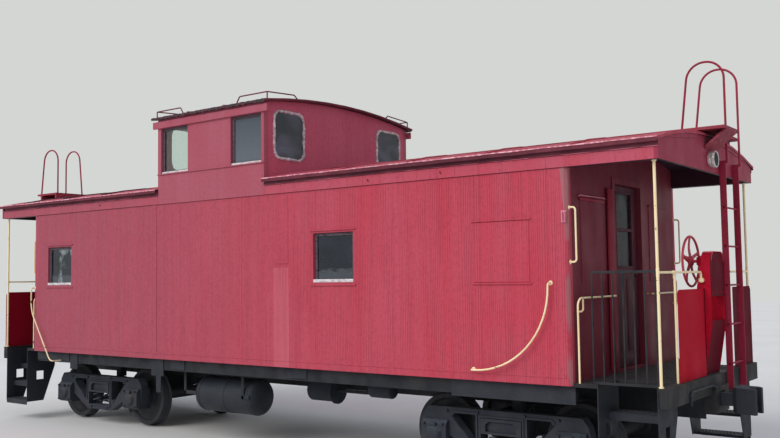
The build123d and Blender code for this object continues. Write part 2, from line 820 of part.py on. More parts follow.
def end_panel(y0, y1, cut_y):
    """Sheet of the porch end between two places across it, one top corner cut off"""
    low, high = DECK_Z, DECK_Z + PANEL_H
    keep_y = cut_y + math.copysign(PANEL_CUT, (y0 + y1) / 2 - cut_y)
    other = y0 + y1 - cut_y
    outline = [(other, low), (cut_y, low), (cut_y, high - PANEL_CUT), (keep_y, high), (other, high)]
    x = POST_X + POST_R
    return plate_yz(outline, x, x + PANEL_T)


save(
    "end_panels",
    *both_ends(end_panel(-INNER_POST_Y, HOUSING_Y0, -INNER_POST_Y), end_panel(LADDER_Y1, DECK_Y, DECK_Y)),
)


def step_gate():
    """Barred gate across the near steps of end A"""
    y = -POST_Y
    top = SILL_Z + GATE_TOP_UP
    half = GATE_BAR / 2
    x0, x1 = WELL_X0 - GATE_PITCH / 2, POST_X - POST_R
    gate = block(x0, x1, y - half, y + half, top - GATE_RAIL, top)
    gate += block(x0, x1, y - half, y + half, DECK_Z, DECK_Z + GATE_RAIL)
    count = round((x1 - x0) / GATE_PITCH)
    for index in range(count + 1):
        x = x0 + half + index * (x1 - x0 - GATE_BAR) / count
        gate += block(x - half, x + half, y - half, y + half, DECK_Z, top)
    return gate


save("step_gate", step_gate())

# Side grab irons: upright's X, its top, knees in X and height, foot's X and height, and foot's Y
SIDE_GRABS = [
    (HALF_L - 200, 1006, [(HALF_L - 200, 114)], HALF_L - 1110, 114, -HALF_W, 740),
    (-HALF_L + 30, 995, [(-HALF_L + 30, 640), (-HALF_L + 560, -128)], -HALF_L + 640, -128, -INNER_W - SKIRT_T, 90),
]


def side_grab(x0, top, knees, x1, low, foot_y, bend):
    """Side bar that curves from beside the corner down to the sill"""
    y = -HALF_W - GRAB_OUT
    path = [(x0, y, SILL_Z + top)] + [(x, y, SILL_Z + up) for x, up in knees] + [(x1, y, SILL_Z + low)]
    curve = eased(path, bend, 3)
    path = [(x0, -HALF_W, SILL_Z + top)] + [tuple(point) for point in curve]
    line = Polyline(*path, (x1, foot_y, SILL_Z + low))
    return sweep((line ^ 0) * RegularPolygon(GRAB_R, BAR_SIDES), path=line, transition=Transition.RIGHT)


def end_grabs():
    """Near side of end A: the upright bar by the corner, and the floor rail bent along the wall"""
    x = HALF_L + GRAB_OUT
    y = -HALF_W + WALL / 2
    z0 = SILL_Z + GRAB_UP
    z1 = z0 + GRAB_H
    upright = bar(GRAB_R, (HALF_L, y, z0), (x, y, z0), (x, y, z1), (HALF_L, y, z1), bend=30, steps=1)
    top = SILL_Z + FLOOR_RAIL_UP
    end_y = -FLOOR_RAIL_Y
    floor_rail = bar(GRAB_R, (x, y, DECK_Z), (x, y, top), (x, end_y, top), (HALF_L, end_y, top), bend=60)
    return upright, floor_rail


save(
    "grab_irons",
    *both_ends(*both_sides(*end_grabs()), *[side_grab(*columns) for columns in SIDE_GRABS]),
)


def ladder():
    """End A ladder: flat stiles from the end sill up over the fascia, and the round rungs"""
    low, high = DECK_Z - END_SILL_H, SEAM_Z + STILE_PAST
    half = STILE_T / 2
    x0, x1 = ROOF_END, ROOF_END + STILE_D
    stiles = [block(x0, x1, y - half, y + half, low, high) for y in (LADDER_Y0, LADDER_Y1)]
    x = ROOF_END + STILE_D / 2
    rungs = []
    z = DECK_Z + RUNG_FIRST
    while z < SEAM_Z:
        rungs.append(bar(RUNG_R, (x, LADDER_Y0 + half, z), (x, LADDER_Y1 - half, z)))
        z += RUNG_PITCH
    return stiles, rungs


stiles, rungs = ladder()
save("ladders", *both_ends(*stiles))
save("ladder_rungs", *both_ends(*rungs))

# Roof hoops of end A and end B: place across the car, and whether the inboard leg is raked
HOOPS_A = [(LADDER_Y0, True), (LADDER_Y1, True)]
HOOPS_B = [(LADDER_Y0, True), (LADDER_Y1, False)]
HOOP_X1 = ROOF_END + STILE_D + SEAT_GAP + HOOP_R
LANDING_X1 = ROOF_END + STILE_D - STILE_T


def walkway(start_x):
    """Centre running board out over the roof end, with the ladder's landing, cleats and a knee"""
    low, half = WALK_Z - WALK_T, WALK_W / 2
    end_x = ROOF_END + WALK_OVER
    boards = block(start_x, end_x, -half, half, low, WALK_Z)
    boards += block(LANDING_X1 - LANDING_L, LANDING_X1, half, LANDING_Y, low, WALK_Z)
    feet = block(LANDING_X1 - LANDING_L, LANDING_X1 - LANDING_L + CLEAT_W, -half, LANDING_Y, EAVE_Z, low)
    feet += block(ROOF_END - 2 * CLEAT_W, ROOF_END - CLEAT_W, -half, LANDING_Y, EAVE_Z, low)
    x = start_x + CLEAT_PITCH / 3
    while x < LANDING_X1 - LANDING_L - CLEAT_W:
        feet += block(x, x + CLEAT_W, -half, half, EAVE_Z, low)
        x += CLEAT_PITCH
    boards += feet - under_arch(ROOF_HALF_W, EAVE_Z + SEAT_GAP, ROOF_RISE, 0, end_x)
    knee = [(ROOF_END, low - KNEE_DROP - WALK_T), (ROOF_END, low - KNEE_DROP), (end_x - WALK_T, low), (end_x, low)]
    return boards + plate_xz(knee, -KNEE_W / 2, KNEE_W / 2)


def roof_hoop(y, raked_in):
    """Pipe hoop along X: one upright leg, one raked leg, the outer one down to the ladder"""
    top = WALK_Z + HOOP_H
    x0 = HOOP_X1 - HOOP_L
    rake0, rake1 = (HOOP_RAKE, 0) if raked_in else (0, HOOP_RAKE)
    hoop = bar(
        HOOP_R, (x0, y, WALK_Z - HOOP_R), (x0 + rake0, y, top), (HOOP_X1 - rake1, y, top), (HOOP_X1, y, WALK_Z),
        bend=HOOP_BEND, steps=3,
    )
    hoop &= block(x0 - HOOP_RAKE, HOOP_X1 + HOOP_RAKE, y - HOOP_R, y + HOOP_R, WALK_Z, top + HOOP_R)
    foot_z = SEAM_Z + STILE_PAST - 2 * HOOP_R
    return hoop + bar(HOOP_R, (HOOP_X1, y, foot_z), (HOOP_X1, y, WALK_Z))


save("roof_walkways", walkway(CUP_X1), half_turn(walkway(-CUP_X0)))
save(
    "roof_hoops",
    *[roof_hoop(*columns) for columns in HOOPS_A],
    *[half_turn(roof_hoop(*columns)) for columns in HOOPS_B],
)


def cupola_rail(sx, sy):
    """Low L-shaped rail round one cupola roof corner, with a post at the corner"""
    corner_x = (CUP_X1 + CUP_OVER - CUP_RAIL_IN) if sx > 0 else (CUP_X0 - CUP_OVER + CUP_RAIL_IN)
    corner_y = sy * (ROOF_HALF_W - CUP_RAIL_IN)
    base, top = CUP_EAVE_Z, CUP_EAVE_Z + CUP_RAIL_H
    along, across = corner_x - sx * CUP_RAIL_L, corner_y - sy * CUP_RAIL_L
    rail = bar(
        CUP_RAIL_R, (along, corner_y, base), (along + sx * CUP_RAIL_SLANT, corner_y, top),
        (corner_x, corner_y, top), (corner_x, across + sy * CUP_RAIL_SLANT, top + CUP_RAIL_RISE),
        (corner_x, across, base + CUP_RAIL_RISE), bend=CUP_RAIL_R, steps=1, sides=4,
    )
    rail += bar(CUP_RAIL_R, (corner_x, corner_y, base), (corner_x, corner_y, top), sides=4)
    return rail - under_arch(ROOF_HALF_W, CUP_EAVE_Z + SEAT_GAP, CUP_RISE, CUP_X0 - CUP_OVER, CUP_X1 + CUP_OVER)


save("cupola_rails", *[cupola_rail(sx, sy) for sx in (-1, 1) for sy in (-1, 1)])


def marker_lamp():
    """Round lamp on the end fascia, with a rim round its sunk lens"""
    x0, x1 = ROOF_END, ROOF_END + LAMP_D
    rim_x, lens_r = x1 - 2 * LAMP_RIM, LAMP_R - LAMP_RIM
    lamp = turned_x(SHAFT_SIDES, (lens_r, x0), (lens_r, rim_x), (LAMP_R, rim_x + LAMP_RIM), (LAMP_R, x1))
    lamp -= turned_x(SHAFT_SIDES, (lens_r - LAMP_RIM, x1 - LAMP_RIM), (lens_r, x1))
    return Pos(0, 0, SILL_Z + LAMP_UP) * lamp


save("marker_lamps", *both_ends(marker_lamp()))

# Underframe
UNDER_TOP = SILL_Z - FRAME_DOWN
SIDE_SILL_Y = INNER_W - SIDE_SILL_T


def cross_beam(x, width, deep):
    """Tapered beam from the centre sill out to the near side sill"""
    half = CENTRE_SILL_W / 2
    root, tip = UNDER_TOP - deep, UNDER_TOP - BEARER_TIP
    outline = [(-half, UNDER_TOP), (-half, root), (-SIDE_SILL_Y, tip), (-SIDE_SILL_Y, UNDER_TOP)]
    return plate_yz(outline, x - width / 2, x + width / 2)


def bearer_bottom(y):
    """Height of a cross bearer's sloping underside at a distance from the middle"""
    share = (y - CENTRE_SILL_W / 2) / (SIDE_SILL_Y - CENTRE_SILL_W / 2)
    return UNDER_TOP - BEARER_H + share * (BEARER_H - BEARER_TIP)


def centre_sill():
    """Channel along the middle of the car, with a round centre plate over each truck"""
    half = CENTRE_SILL_W / 2
    inner = half - CENTRE_SILL_WALL
    low = CENTRE_SILL_BOTTOM
    sill = block(-END_SILL_X, END_SILL_X, -half, half, low, UNDER_TOP)
    sill -= block(-END_SILL_X, END_SILL_X, -inner, inner, low, UNDER_TOP - CENTRE_SILL_WALL)
    for x in (-TRUCK_X, TRUCK_X):
        beam_half = BOLSTER_BEAM_W / 2
        sill += block(x - beam_half, x + beam_half, -half, half, low, low + CENTRE_PLATE_T)
        sill += bar(CENTRE_PLATE_R, (x, 0, BOLSTER_TOP + SEAT_GAP), (x, 0, low), sides=SHAFT_SIDES)
    return sill


def body_bolster(x):
    """Near half of the tapered beam over a truck, with its side bearing"""
    beam = cross_beam(x, BOLSTER_BEAM_W, BOLSTER_BEAM_H)
    pad = SIDE_BEARING_W / 2
    top = UNDER_TOP - BEARER_TIP - CENTRE_PLATE_T
    y = -SIDE_BEARING_Y
    return beam + block(x - pad, x + pad, y - pad, y + pad, SIDE_BEARING_Z, top)


save("centre_sill", centre_sill())
save("body_bolsters", *both_sides(body_bolster(-TRUCK_X), body_bolster(TRUCK_X)))
save("cross_bearers", *both_sides(*[cross_beam(x, BEARER_W, BEARER_H) for x in BEARER_XS]))
side_sill = block(-HALF_L, HALF_L, -INNER_W, -SIDE_SILL_Y, UNDER_TOP - SIDE_SILL_H, UNDER_TOP)
save("side_sills", *both_sides(side_sill))

# Plates and brackets hung from the side sill: x0, x1 and depth below the body, on both sides or the near
SKIRTS = [(HALF_L - 1445, HALF_L, 188), (-HALF_L, -HALF_L + 855, 130)]
NEAR_BRACKETS = [(-3770, -3580, 247), (-1820, -1560, 244), (-1410, -1118, 139), (800, 1115, 136)]
LONG_BRACKET = (-1715, -1615, 470)


def skirt(x0, x1, deep):
    """Plate on the near side sill"""
    return block(x0, x1, -INNER_W - SKIRT_T, -INNER_W, SILL_Z - deep, DECK_Z - DECK_T - SEAT_GAP)


brackets = [skirt(*columns) for columns in NEAR_BRACKETS]
brackets[1] += skirt(*LONG_BRACKET)
save("sill_skirts", *both_ends(*[skirt(*columns) for columns in SKIRTS]), *brackets)


def drum(radius, length, dome, sides):
    """Closed tank about the X axis with domed ends"""
    half = length / 2
    rings = [(radius * 0.55, half), (radius * 0.86, half - dome * 0.35), (radius, half - dome)]
    return turned_x(sides, *[(r, -x) for r, x in rings], *reversed(rings))


def reservoir():
    """Air reservoir under the near side on two flat hangers"""
    z = SILL_Z - DRUM_DOWN
    tank = drum(DRUM_R, DRUM_L, DRUM_DOME, DRUM_SIDES)
    tank = Pos(DRUM_X, -DRUM_Y, z) * tank
    y1 = -DRUM_Y - DRUM_R + HANGER_T
    y0 = y1 - 2 * HANGER_T
    for x in BEARER_XS[:2]:
        x0, x1 = x - HANGER_W / 2, x + HANGER_W / 2
        tank += block(x0, x1, y0, y0 + HANGER_T, z, bearer_bottom(-y0 - HANGER_T) - SEAT_GAP)
        foot_x = sorted((x0, x1, DRUM_X + math.copysign(DRUM_L / 2 - DRUM_DOME, x - DRUM_X)))
        tank += block(foot_x[0], foot_x[2], y0, y1, z, z + HANGER_W)
    return tank


def small_reservoir():
    """Auxiliary tank on one hanger strap"""
    x, z = BEARER_XS[3], SILL_Z - SMALL_DRUM_DOWN
    tank = Pos(x, -DRUM_Y, z) * drum(SMALL_DRUM_R, SMALL_DRUM_L, SMALL_DRUM_R / 3, SHAFT_SIDES)
    top = bearer_bottom(DRUM_Y - HANGER_W / 2) - SEAT_GAP
    return tank + block(x - HANGER_W, x + HANGER_W, -DRUM_Y - HANGER_W / 2, -DRUM_Y + HANGER_W / 2, z, top)


save("air_reservoir", reservoir(), small_reservoir())


def brake_cylinder():
    """Brake cylinder with a flanged head, a push rod and two feet on the centre sill"""
    half = CYLINDER_L / 2
    flange_r = CYLINDER_R + CYLINDER_FLANGE
    body = turned_x(
        DRUM_SIDES, (CYLINDER_R * 0.8, -half), (CYLINDER_R, -half + CYLINDER_FLANGE), (CYLINDER_R, half)
    )
    body += turned_x(DRUM_SIDES, (flange_r, half), (flange_r, half + CYLINDER_FLANGE))
    body += bar(PUSH_ROD_R, (half, 0, 0), (half + PUSH_ROD_L, 0, 0))
    body = Pos(CYLINDER_X, -CYLINDER_Y, SILL_Z - CYLINDER_DOWN) * body
    z = SILL_Z - CYLINDER_DOWN
    for x in (CYLINDER_X - half / 2, CYLINDER_X + half / 2):
        body += block(x - HANGER_W / 2, x + HANGER_W / 2, -CYLINDER_Y, -CENTRE_SILL_W / 2, z, z + HANGER_W)
    return body


save("brake_cylinder", brake_cylinder())

# Plan of the coupler head, from the shank's shoulder: along X and across Y
COUPLER_HEAD = [
    (0, -65), (50, -120), (165, -150), (250, -175), (262, -140), (200, -105), (150, -40), (150, 20),
    (205, 50), (262, 20), (268, 60), (215, 125), (100, 145), (40, 110), (0, 65),
]


def coupler():
    """Shank in the striker with a knuckle head, and the uncoupling lever on the end sill"""
    half = SHANK / 2
    shoulder = ROOF_END + COUPLER_L - max(x for x, y in COUPLER_HEAD)
    body = block(END_SILL_X - 3 * SHANK, shoulder, -half, half, COUPLER_Z - half, COUPLER_Z + half)
    head = [(shoulder + x, y) for x, y in COUPLER_HEAD]
    body += plate_xy(head, COUPLER_Z - SHANK, COUPLER_Z + SHANK)
    x = ROOF_END + LEVER_R
    z = DECK_Z - END_SILL_H / 2
    lever = bar(
        LEVER_R, (x, LEVER_Y, z - SHANK), (x, LEVER_Y, z), (x, -STRIKER_W / 2 - LEVER_R, z),
        (x + STRIKER_OUT, -STRIKER_W / 2 - LEVER_R, COUPLER_Z + SHANK), bend=30, steps=1,
    )
    return body, lever


save("couplers", *both_ends(*coupler()))


# Trucks, built about their own middle and moved to each end
def frame_window(side):
    """Outline of the sloping window on one side of the truck's middle"""
    corners = [
        (WINDOW_IN, WINDOW_TOP), (WINDOW_OUT - 30, WINDOW_TOP), (WINDOW_OUT, WINDOW_TOP - 40),
        (WINDOW_IN + 60, WINDOW_LOW), (WINDOW_IN, WINDOW_LOW + 20),
    ]
    return [(side * x, z) for x, z in corners]


def grown(points, amount):
    """Outline moved outward from its middle by about the amount on every side"""
    mid_x = (min(x for x, z in points) + max(x for x, z in points)) / 2
    mid_z = (min(z for x, z in points) + max(z for x, z in points)) / 2
    return [(x + math.copysign(amount, x - mid_x), z + math.copysign(amount, z - mid_z)) for x, z in points]


def side_frame():
    """Near cast side frame: bolster opening, sloping windows, raised ribs and journal boxes"""
    half_base = WHEELBASE / 2
    box_half = BOX_W / 2
    box_top = AXLE_Z + BOX_H / 2
    box_low = AXLE_Z - BOX_H / 2
    y0, y1 = -FRAME_Y - FRAME_T / 2, -FRAME_Y + FRAME_T / 2
    right = [
        (FRAME_FLAT, FRAME_BOTTOM), (half_base - box_half, box_low + 140), (half_base, box_low + 60),
        (FRAME_END - 30, box_low + 60), (FRAME_END, box_top - 40), (FRAME_END - 25, FRAME_TOP - FRAME_SHOULDER),
        (FRAME_END - FRAME_SHOULDER, FRAME_TOP),
    ]
    left = [(-x, z) for x, z in reversed(right)]
    frame = plate_xz(right + left, y0, y1)
    half = OPENING_W / 2
    opening = [(-half, OPENING_LOW), (half, OPENING_LOW), (half, OPENING_TOP), (-half, OPENING_TOP)]
    for outline in (opening, frame_window(-1), frame_window(1)):
        frame += plate_xz(grown(outline, RIB_W), y0 - RIB_OUT, y0)
        frame -= plate_xz(outline, y0 - RIB_OUT, y1)
    for x in (-half_base, half_base):
        box = block(x - box_half, x + box_half, -BOX_OUT, -BOX_IN, box_low, box_top)
        frame += chamfer(box.edges().group_by(Axis.Y)[0].filter_by(Axis.X), BOX_EASE)
        cover = turned_y(SHAFT_SIDES, (COVER_R * 0.8, -BOX_OUT - COVER_T), (COVER_R, -BOX_OUT))
        frame += Pos(x, 0, AXLE_Z) * cover
        bore_r = (JOURNAL_R + RUN_GAP) / math.cos(math.pi / SHAFT_SIDES)
        bore = turned_y(SHAFT_SIDES, (bore_r, -JOURNAL_END - BORE_PAST), (bore_r, -BOX_IN))
        frame -= Pos(x, 0, AXLE_Z) * Rot(0, 180 / SHAFT_SIDES, 0) * bore
    return frame


def coil_spring(z0, z1):
    """Coil spring about the Z axis between two seats"""
    count = round(SPRING_TURNS * SPRING_CHORDS)
    low, high = z0 + SPRING_WIRE, z1 - SPRING_WIRE
    points = []
    for step in range(count + 1):
        angle = 2 * math.pi * step / SPRING_CHORDS
        rise = low + (high - low) * step / count
        points.append((SPRING_R * math.cos(angle), SPRING_R * math.sin(angle), rise))
    path = Polyline(*points)
    return sweep((path ^ 0) * RegularPolygon(SPRING_WIRE, 4), path=path, transition=Transition.RIGHT)


def truck_bolster():
    """Cross bolster with pocketed ends on its coil springs, its centre plate and side bearings"""
    half = OPENING_W / 2 - BOLSTER_GAP
    top = OPENING_TOP - BOLSTER_GAP
    crown = BOLSTER_TOP - CENTRE_PLATE_T
    inner = FRAME_Y - FRAME_T
    bolster = plate_yz(
        [
            (-BOLSTER_END, BOLSTER_SEAT), (-inner / 2, BOLSTER_SEAT - 60), (inner / 2, BOLSTER_SEAT - 60),
            (BOLSTER_END, BOLSTER_SEAT), (BOLSTER_END, top), (inner, top), (inner - 120, crown),
            (120 - inner, crown), (-inner, top), (-BOLSTER_END, top),
        ],
        -half, half,
    )
    pocket = [
        (-half + 60, BOLSTER_SEAT + 25), (half - 60, BOLSTER_SEAT + 25), (half - 60, top - 65),
        (half - 105, top - 30), (-half + 105, top - 30), (-half + 60, top - 65),
    ]
    for y0, y1 in ((-BOLSTER_END, -BOLSTER_END + POCKET_DEEP), (BOLSTER_END - POCKET_DEEP, BOLSTER_END)):
        bolster -= plate_xz(pocket, y0, y1)
    bolster += bar(CENTRE_PLATE_R, (0, 0, crown), (0, 0, BOLSTER_TOP), sides=SHAFT_SIDES)
    pad = SIDE_BEARING_W / 2
    for y in (-SIDE_BEARING_Y, SIDE_BEARING_Y):
        bolster += block(-pad, pad, y - pad, y + pad, crown, SIDE_BEARING_Z - SIDE_BEARING_GAP)
    coil = coil_spring(OPENING_LOW + SEAT_GAP, BOLSTER_SEAT + 2 * SEAT_GAP)
    for y in (-FRAME_Y, FRAME_Y):
        for x in (-SPRING_X, SPRING_X):
            bolster += Pos(x, y, 0) * coil
    return bolster


def wheelset():
    """Two flanged, dished wheels on an axle with journals, whose flats stand at the true radius"""
    back, face = WHEEL_BACK, WHEEL_BACK + RIM_W
    full = 1 / math.cos(math.pi / WHEEL_SIDES)
    flange_r = (TREAD_R + FLANGE) * full
    rim_r = TREAD_R - RIM_T
    middle = (back + face) / 2
    web0, web1 = middle - PLATE_T / 2, middle + PLATE_T / 2
    wheel = turned_y(
        WHEEL_SIDES, (flange_r, back), (TREAD_R * full, back + FLANGE_W), ((TREAD_R - TREAD_TAPER) * full, face)
    )
    wheel -= turned_y(WHEEL_SIDES, (rim_r - DISH, web1), (rim_r, face))
    wheel -= turned_y(WHEEL_SIDES, (rim_r, back), (rim_r - DISH, web0))
    wheel = Rot(0, 180 / WHEEL_SIDES, 0) * wheel
    wheel += turned_y(SHAFT_SIDES, (HUB_R, back - HUB_OUT), (HUB_R, face + HUB_OUT))
    journal = turned_y(
        SHAFT_SIDES, (AXLE_R, 0), (AXLE_R, face + HUB_OUT), (JOURNAL_R, BOX_IN), (JOURNAL_R, JOURNAL_END)
    )
    half = wheel + journal
    return Pos(0, 0, AXLE_Z) * (half + half.mirror(Plane.XZ))


def brake_shoe(axle_x, side, y):
    """Shoe whose face follows the tread on the side towards the truck's middle"""
    near, out = TREAD_R + BRAKE_GAP, TREAD_R + BRAKE_GAP + SHOE_T
    middle = math.degrees(math.asin((BEAM_Z - AXLE_Z) / out))
    angles = [math.radians(middle + SHOE_SPAN * (step / 3 - 0.5)) for step in range(4)]
    arcs = [(near, a) for a in angles] + [(out, a) for a in reversed(angles)]
    outline = [(axle_x - side * radius * math.cos(a), AXLE_Z + radius * math.sin(a)) for radius, a in arcs]
    return plate_xz(outline, y - SHOE_W / 2, y + SHOE_W / 2)


def brake_beam(side):
    """Beam across the truck with a shoe facing each wheel's inner tread"""
    axle_x = side * WHEELBASE / 2
    reach = TREAD_R + BRAKE_GAP + SHOE_T + BEAM_R - BEAM_SUNK
    x = axle_x - side * math.sqrt(reach ** 2 - (AXLE_Z - BEAM_Z) ** 2)
    end = FRAME_Y - FRAME_T / 2 - SEAT_GAP
    beam = bar(BEAM_R, (x, -end, BEAM_Z), (x, end, BEAM_Z))
    shoe_y = WHEEL_BACK + FLANGE_W + SHOE_W / 2 + BRAKE_GAP
    for y in (-shoe_y, shoe_y):
        beam += brake_shoe(axle_x, side, y)
    return beam


near_frame, bolster, wheels = side_frame(), truck_bolster(), wheelset()
beams = [brake_beam(side) for side in (1, -1)]
for name, middle in (("a", TRUCK_X), ("b", -TRUCK_X)):
    place = Pos(middle, 0, 0)
    save(f"truck_frames_{name}", *[place * frame for frame in both_sides(near_frame)])
    save(f"truck_bolster_{name}", place * bolster)
    save(f"brake_beams_{name}", *[place * beam for beam in beams])
    for number, side in ((1, 1), (2, -1)):
        save(f"wheelset_{name}{number}", Pos(middle + side * WHEELBASE / 2, 0, 0) * wheels)
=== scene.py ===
import json
import math
import random

import bmesh
import bpy
from mathutils import Matrix, Vector, noise


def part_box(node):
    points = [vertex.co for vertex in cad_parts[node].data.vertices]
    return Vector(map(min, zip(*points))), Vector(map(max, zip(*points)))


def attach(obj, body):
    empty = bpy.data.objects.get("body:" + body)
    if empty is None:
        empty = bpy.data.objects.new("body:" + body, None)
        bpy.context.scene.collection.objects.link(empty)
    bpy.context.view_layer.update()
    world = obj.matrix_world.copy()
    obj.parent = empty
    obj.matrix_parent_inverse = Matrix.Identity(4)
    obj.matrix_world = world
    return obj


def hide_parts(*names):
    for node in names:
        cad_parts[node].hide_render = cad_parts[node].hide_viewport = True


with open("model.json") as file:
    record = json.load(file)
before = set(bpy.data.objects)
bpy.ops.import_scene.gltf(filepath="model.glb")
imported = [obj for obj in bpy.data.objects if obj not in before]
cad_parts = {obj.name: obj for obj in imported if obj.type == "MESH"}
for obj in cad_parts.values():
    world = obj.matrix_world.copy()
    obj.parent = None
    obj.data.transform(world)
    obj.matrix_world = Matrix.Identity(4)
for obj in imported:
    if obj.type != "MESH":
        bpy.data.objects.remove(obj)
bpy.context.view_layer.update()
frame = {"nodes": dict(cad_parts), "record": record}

scene = bpy.context.scene

# Photograph's frame and the camera that fits it, in metres and radians
IMAGE_W = 780
FOCAL_PX = 897.85
CAMERA_AT = (8.534, -9.614, 2.203)
CAMERA_YAW = 0.643
CAMERA_PITCH = 0.065
CAMERA_ROLL = -0.014
SENSOR_W = 36.0

# Sizes of the car that the pieces below are placed by, in metres
DECK = 1.15
HALF_L = 4.65
HALF_W = 1.525
BOARD_Y = 1.54
EAVE_Y = 1.59
ROOF_END = 5.585
SEAM = 3.266
EAVE = 3.47
ROOF_RISE = 0.2
WALK = 3.72
CUP_X0, CUP_X1 = -1.571, 0.507
CUP_SILL = 3.687
CUP_EAVE = 4.48
CUP_RISE = 0.13
CUP_OVER = 0.078
POST_X = 5.515
POST_Y = 1.462
RAIL = 2.215
HOOP_X0, HOOP_X1 = 5.1843, 5.6693
HOOP_TOP = 4.525
AXLE_Z = 0.444
AXLE_X = 0.838
TRUCK_X = 3.58
SIDE_WINDOWS = ((-3.955, -1), (1.62, -1), (3.955, 1), (-1.62, 1))
WINDOW_LOW, WINDOW_W, WINDOW_H = 2.155, 0.62, 0.59
CUP_WINDOWS = (-1.223, 0.178)
CUP_WINDOW_W = 0.56
SIDES = (-1, 1)
ENDS = (("a", 1), ("b", -1))
# Points nearer than this are one
MERGE = 0.00005


def add_object(name, data):
    """New object in the scene"""
    obj = bpy.data.objects.new(name, data)
    scene.collection.objects.link(obj)
    return obj


def make_camera():
    """Camera at the photograph's viewpoint"""
    data = bpy.data.cameras.new("camera")
    data.sensor_width = SENSOR_W
    data.lens = FOCAL_PX * SENSOR_W / IMAGE_W
    camera = add_object("camera", data)
    sy, cy = math.sin(CAMERA_YAW), math.cos(CAMERA_YAW)
    sp, cp = math.sin(CAMERA_PITCH), math.cos(CAMERA_PITCH)
    forward = Vector((-sy * cp, cy * cp, sp))
    level = Vector((cy, sy, 0))
    up = level.cross(forward)
    cr, sr = math.cos(CAMERA_ROLL), math.sin(CAMERA_ROLL)
    right = level * cr + up * sr
    top = up * cr - level * sr
    turn = Matrix((right, top, -forward)).transposed()
    camera.matrix_world = Matrix.Translation(CAMERA_AT) @ turn.to_4x4()
    scene.camera = camera


make_camera()
scene.view_settings.view_transform = "Standard"


# Node helpers
def put(tree, kind, sockets=None, **settings):
    """New node with its settings, and its sockets, by name or number, set or linked"""
    node = tree.nodes.new(kind)
    for name, value in settings.items():
        setattr(node, name, value)
    for name, value in (sockets or {}).items():
        if isinstance(value, bpy.types.NodeSocket):
            tree.links.new(value, node.inputs[name])
        else:
            node.inputs[name].default_value = value
    return node


def tint(red, green, blue):
    """Colour as it is seen, 0 to 255, on Blender's linear scale"""
    shares = [value / 255 for value in (red, green, blue)]
    return tuple(s / 12.92 if s < 0.04045 else ((s + 0.055) / 1.055) ** 2.4 for s in shares) + (1.0,)


def grain(tree, scale, stretch=(1, 1, 1), detail=4.0, shift=0.0):
    """Noise from 0 to 1 over the piece's own coordinates, stretched by axis"""
    coords = put(tree, "ShaderNodeTexCoord").outputs["Object"]
    moved = put(tree, "ShaderNodeMapping", {"Vector": coords, "Scale": stretch, "Location": (shift,) * 3})
    values = {"Vector": moved.outputs[0], "Scale": scale, "Detail": detail}
    return put(tree, "ShaderNodeTexNoise", values).outputs["Fac"]


def place_axes(tree):
    """The three coordinates of a place on the piece"""
    coords = put(tree, "ShaderNodeTexCoord").outputs["Object"]
    return put(tree, "ShaderNodeSeparateXYZ", {"Vector": coords}).outputs


def facing_axes(tree):
    """The three parts of the way that the surface faces"""
    facing = put(tree, "ShaderNodeNewGeometry").outputs["Normal"]
    return put(tree, "ShaderNodeSeparateXYZ", {"Vector": facing}).outputs


def ramp(tree, value, low, high, at_low=0.0, at_high=1.0):
    """Smooth step of a value between two limits"""
    limits = {"Value": value, "From Min": low, "From Max": high, "To Min": at_low, "To Max": at_high}
    return put(tree, "ShaderNodeMapRange", limits, interpolation_type="SMOOTHSTEP").outputs["Result"]


def sums(tree, operation, *values):
    """Arithmetic on one value, or on several in turn"""
    total = values[0]
    for value in values[1:] or (0.0,):
        total = put(tree, "ShaderNodeMath", {0: total, 1: value}, operation=operation).outputs[0]
    return total


def times(tree, *values):
    """Several values multiplied"""
    return sums(tree, "MULTIPLY", *values)


def fall(tree, value, low, high):
    """Smooth step down, from 1 to 0"""
    return ramp(tree, value, low, high, 1.0, 0.0)


def over(tree, share, below, above):
    """One colour laid over another by a share, each a socket or written 0 to 255"""
    below, above = (tint(*colour) if isinstance(colour, tuple) else colour for colour in (below, above))
    return put(tree, "ShaderNodeMix", {0: share, 6: below, 7: above}, data_type="RGBA").outputs[2]


def layers(tree, colour, *laid):
    """A colour with others laid over it in turn, each by its share"""
    for share, above in laid:
        colour = over(tree, share, colour, above)
    return colour


FINISHES = {}


def start(name):
    """Tree and shader of a new finish, kept under its name"""
    material = bpy.data.materials.new(name)
    material.use_nodes = True
    FINISHES[name] = material
    return material.node_tree, material.node_tree.nodes["Principled BSDF"]


def finish(tree, shader, colour, rough, height=None, depth=0.002):
    """Colour, roughness and relief joined to the shader"""
    tree.links.new(colour, shader.inputs["Base Color"])
    tree.links.new(rough, shader.inputs["Roughness"])
    if height is not None:
        bump = put(tree, "ShaderNodeBump", {"Height": height, "Distance": depth, "Strength": 1.0})
        tree.links.new(bump.outputs[0], shader.inputs["Normal"])


def cells(tree, place, feature, loose):
    """Voronoi cells along one coordinate"""
    values = {"W": place, "Randomness": loose}
    return put(tree, "ShaderNodeTexVoronoi", values, voronoi_dimensions="1D", feature=feature).outputs


# The paler board of each side, as x from, x to and its top, its soft edge, and the lap seams' half width
PALE_BOARD = (0.644, 0.9, 2.342)
SOFT_EDGE = 0.004
LAP_SEAM = 0.0085
# Place along the car times place across it, at the inner edge of an end panel
PANEL_EDGE = -1.3


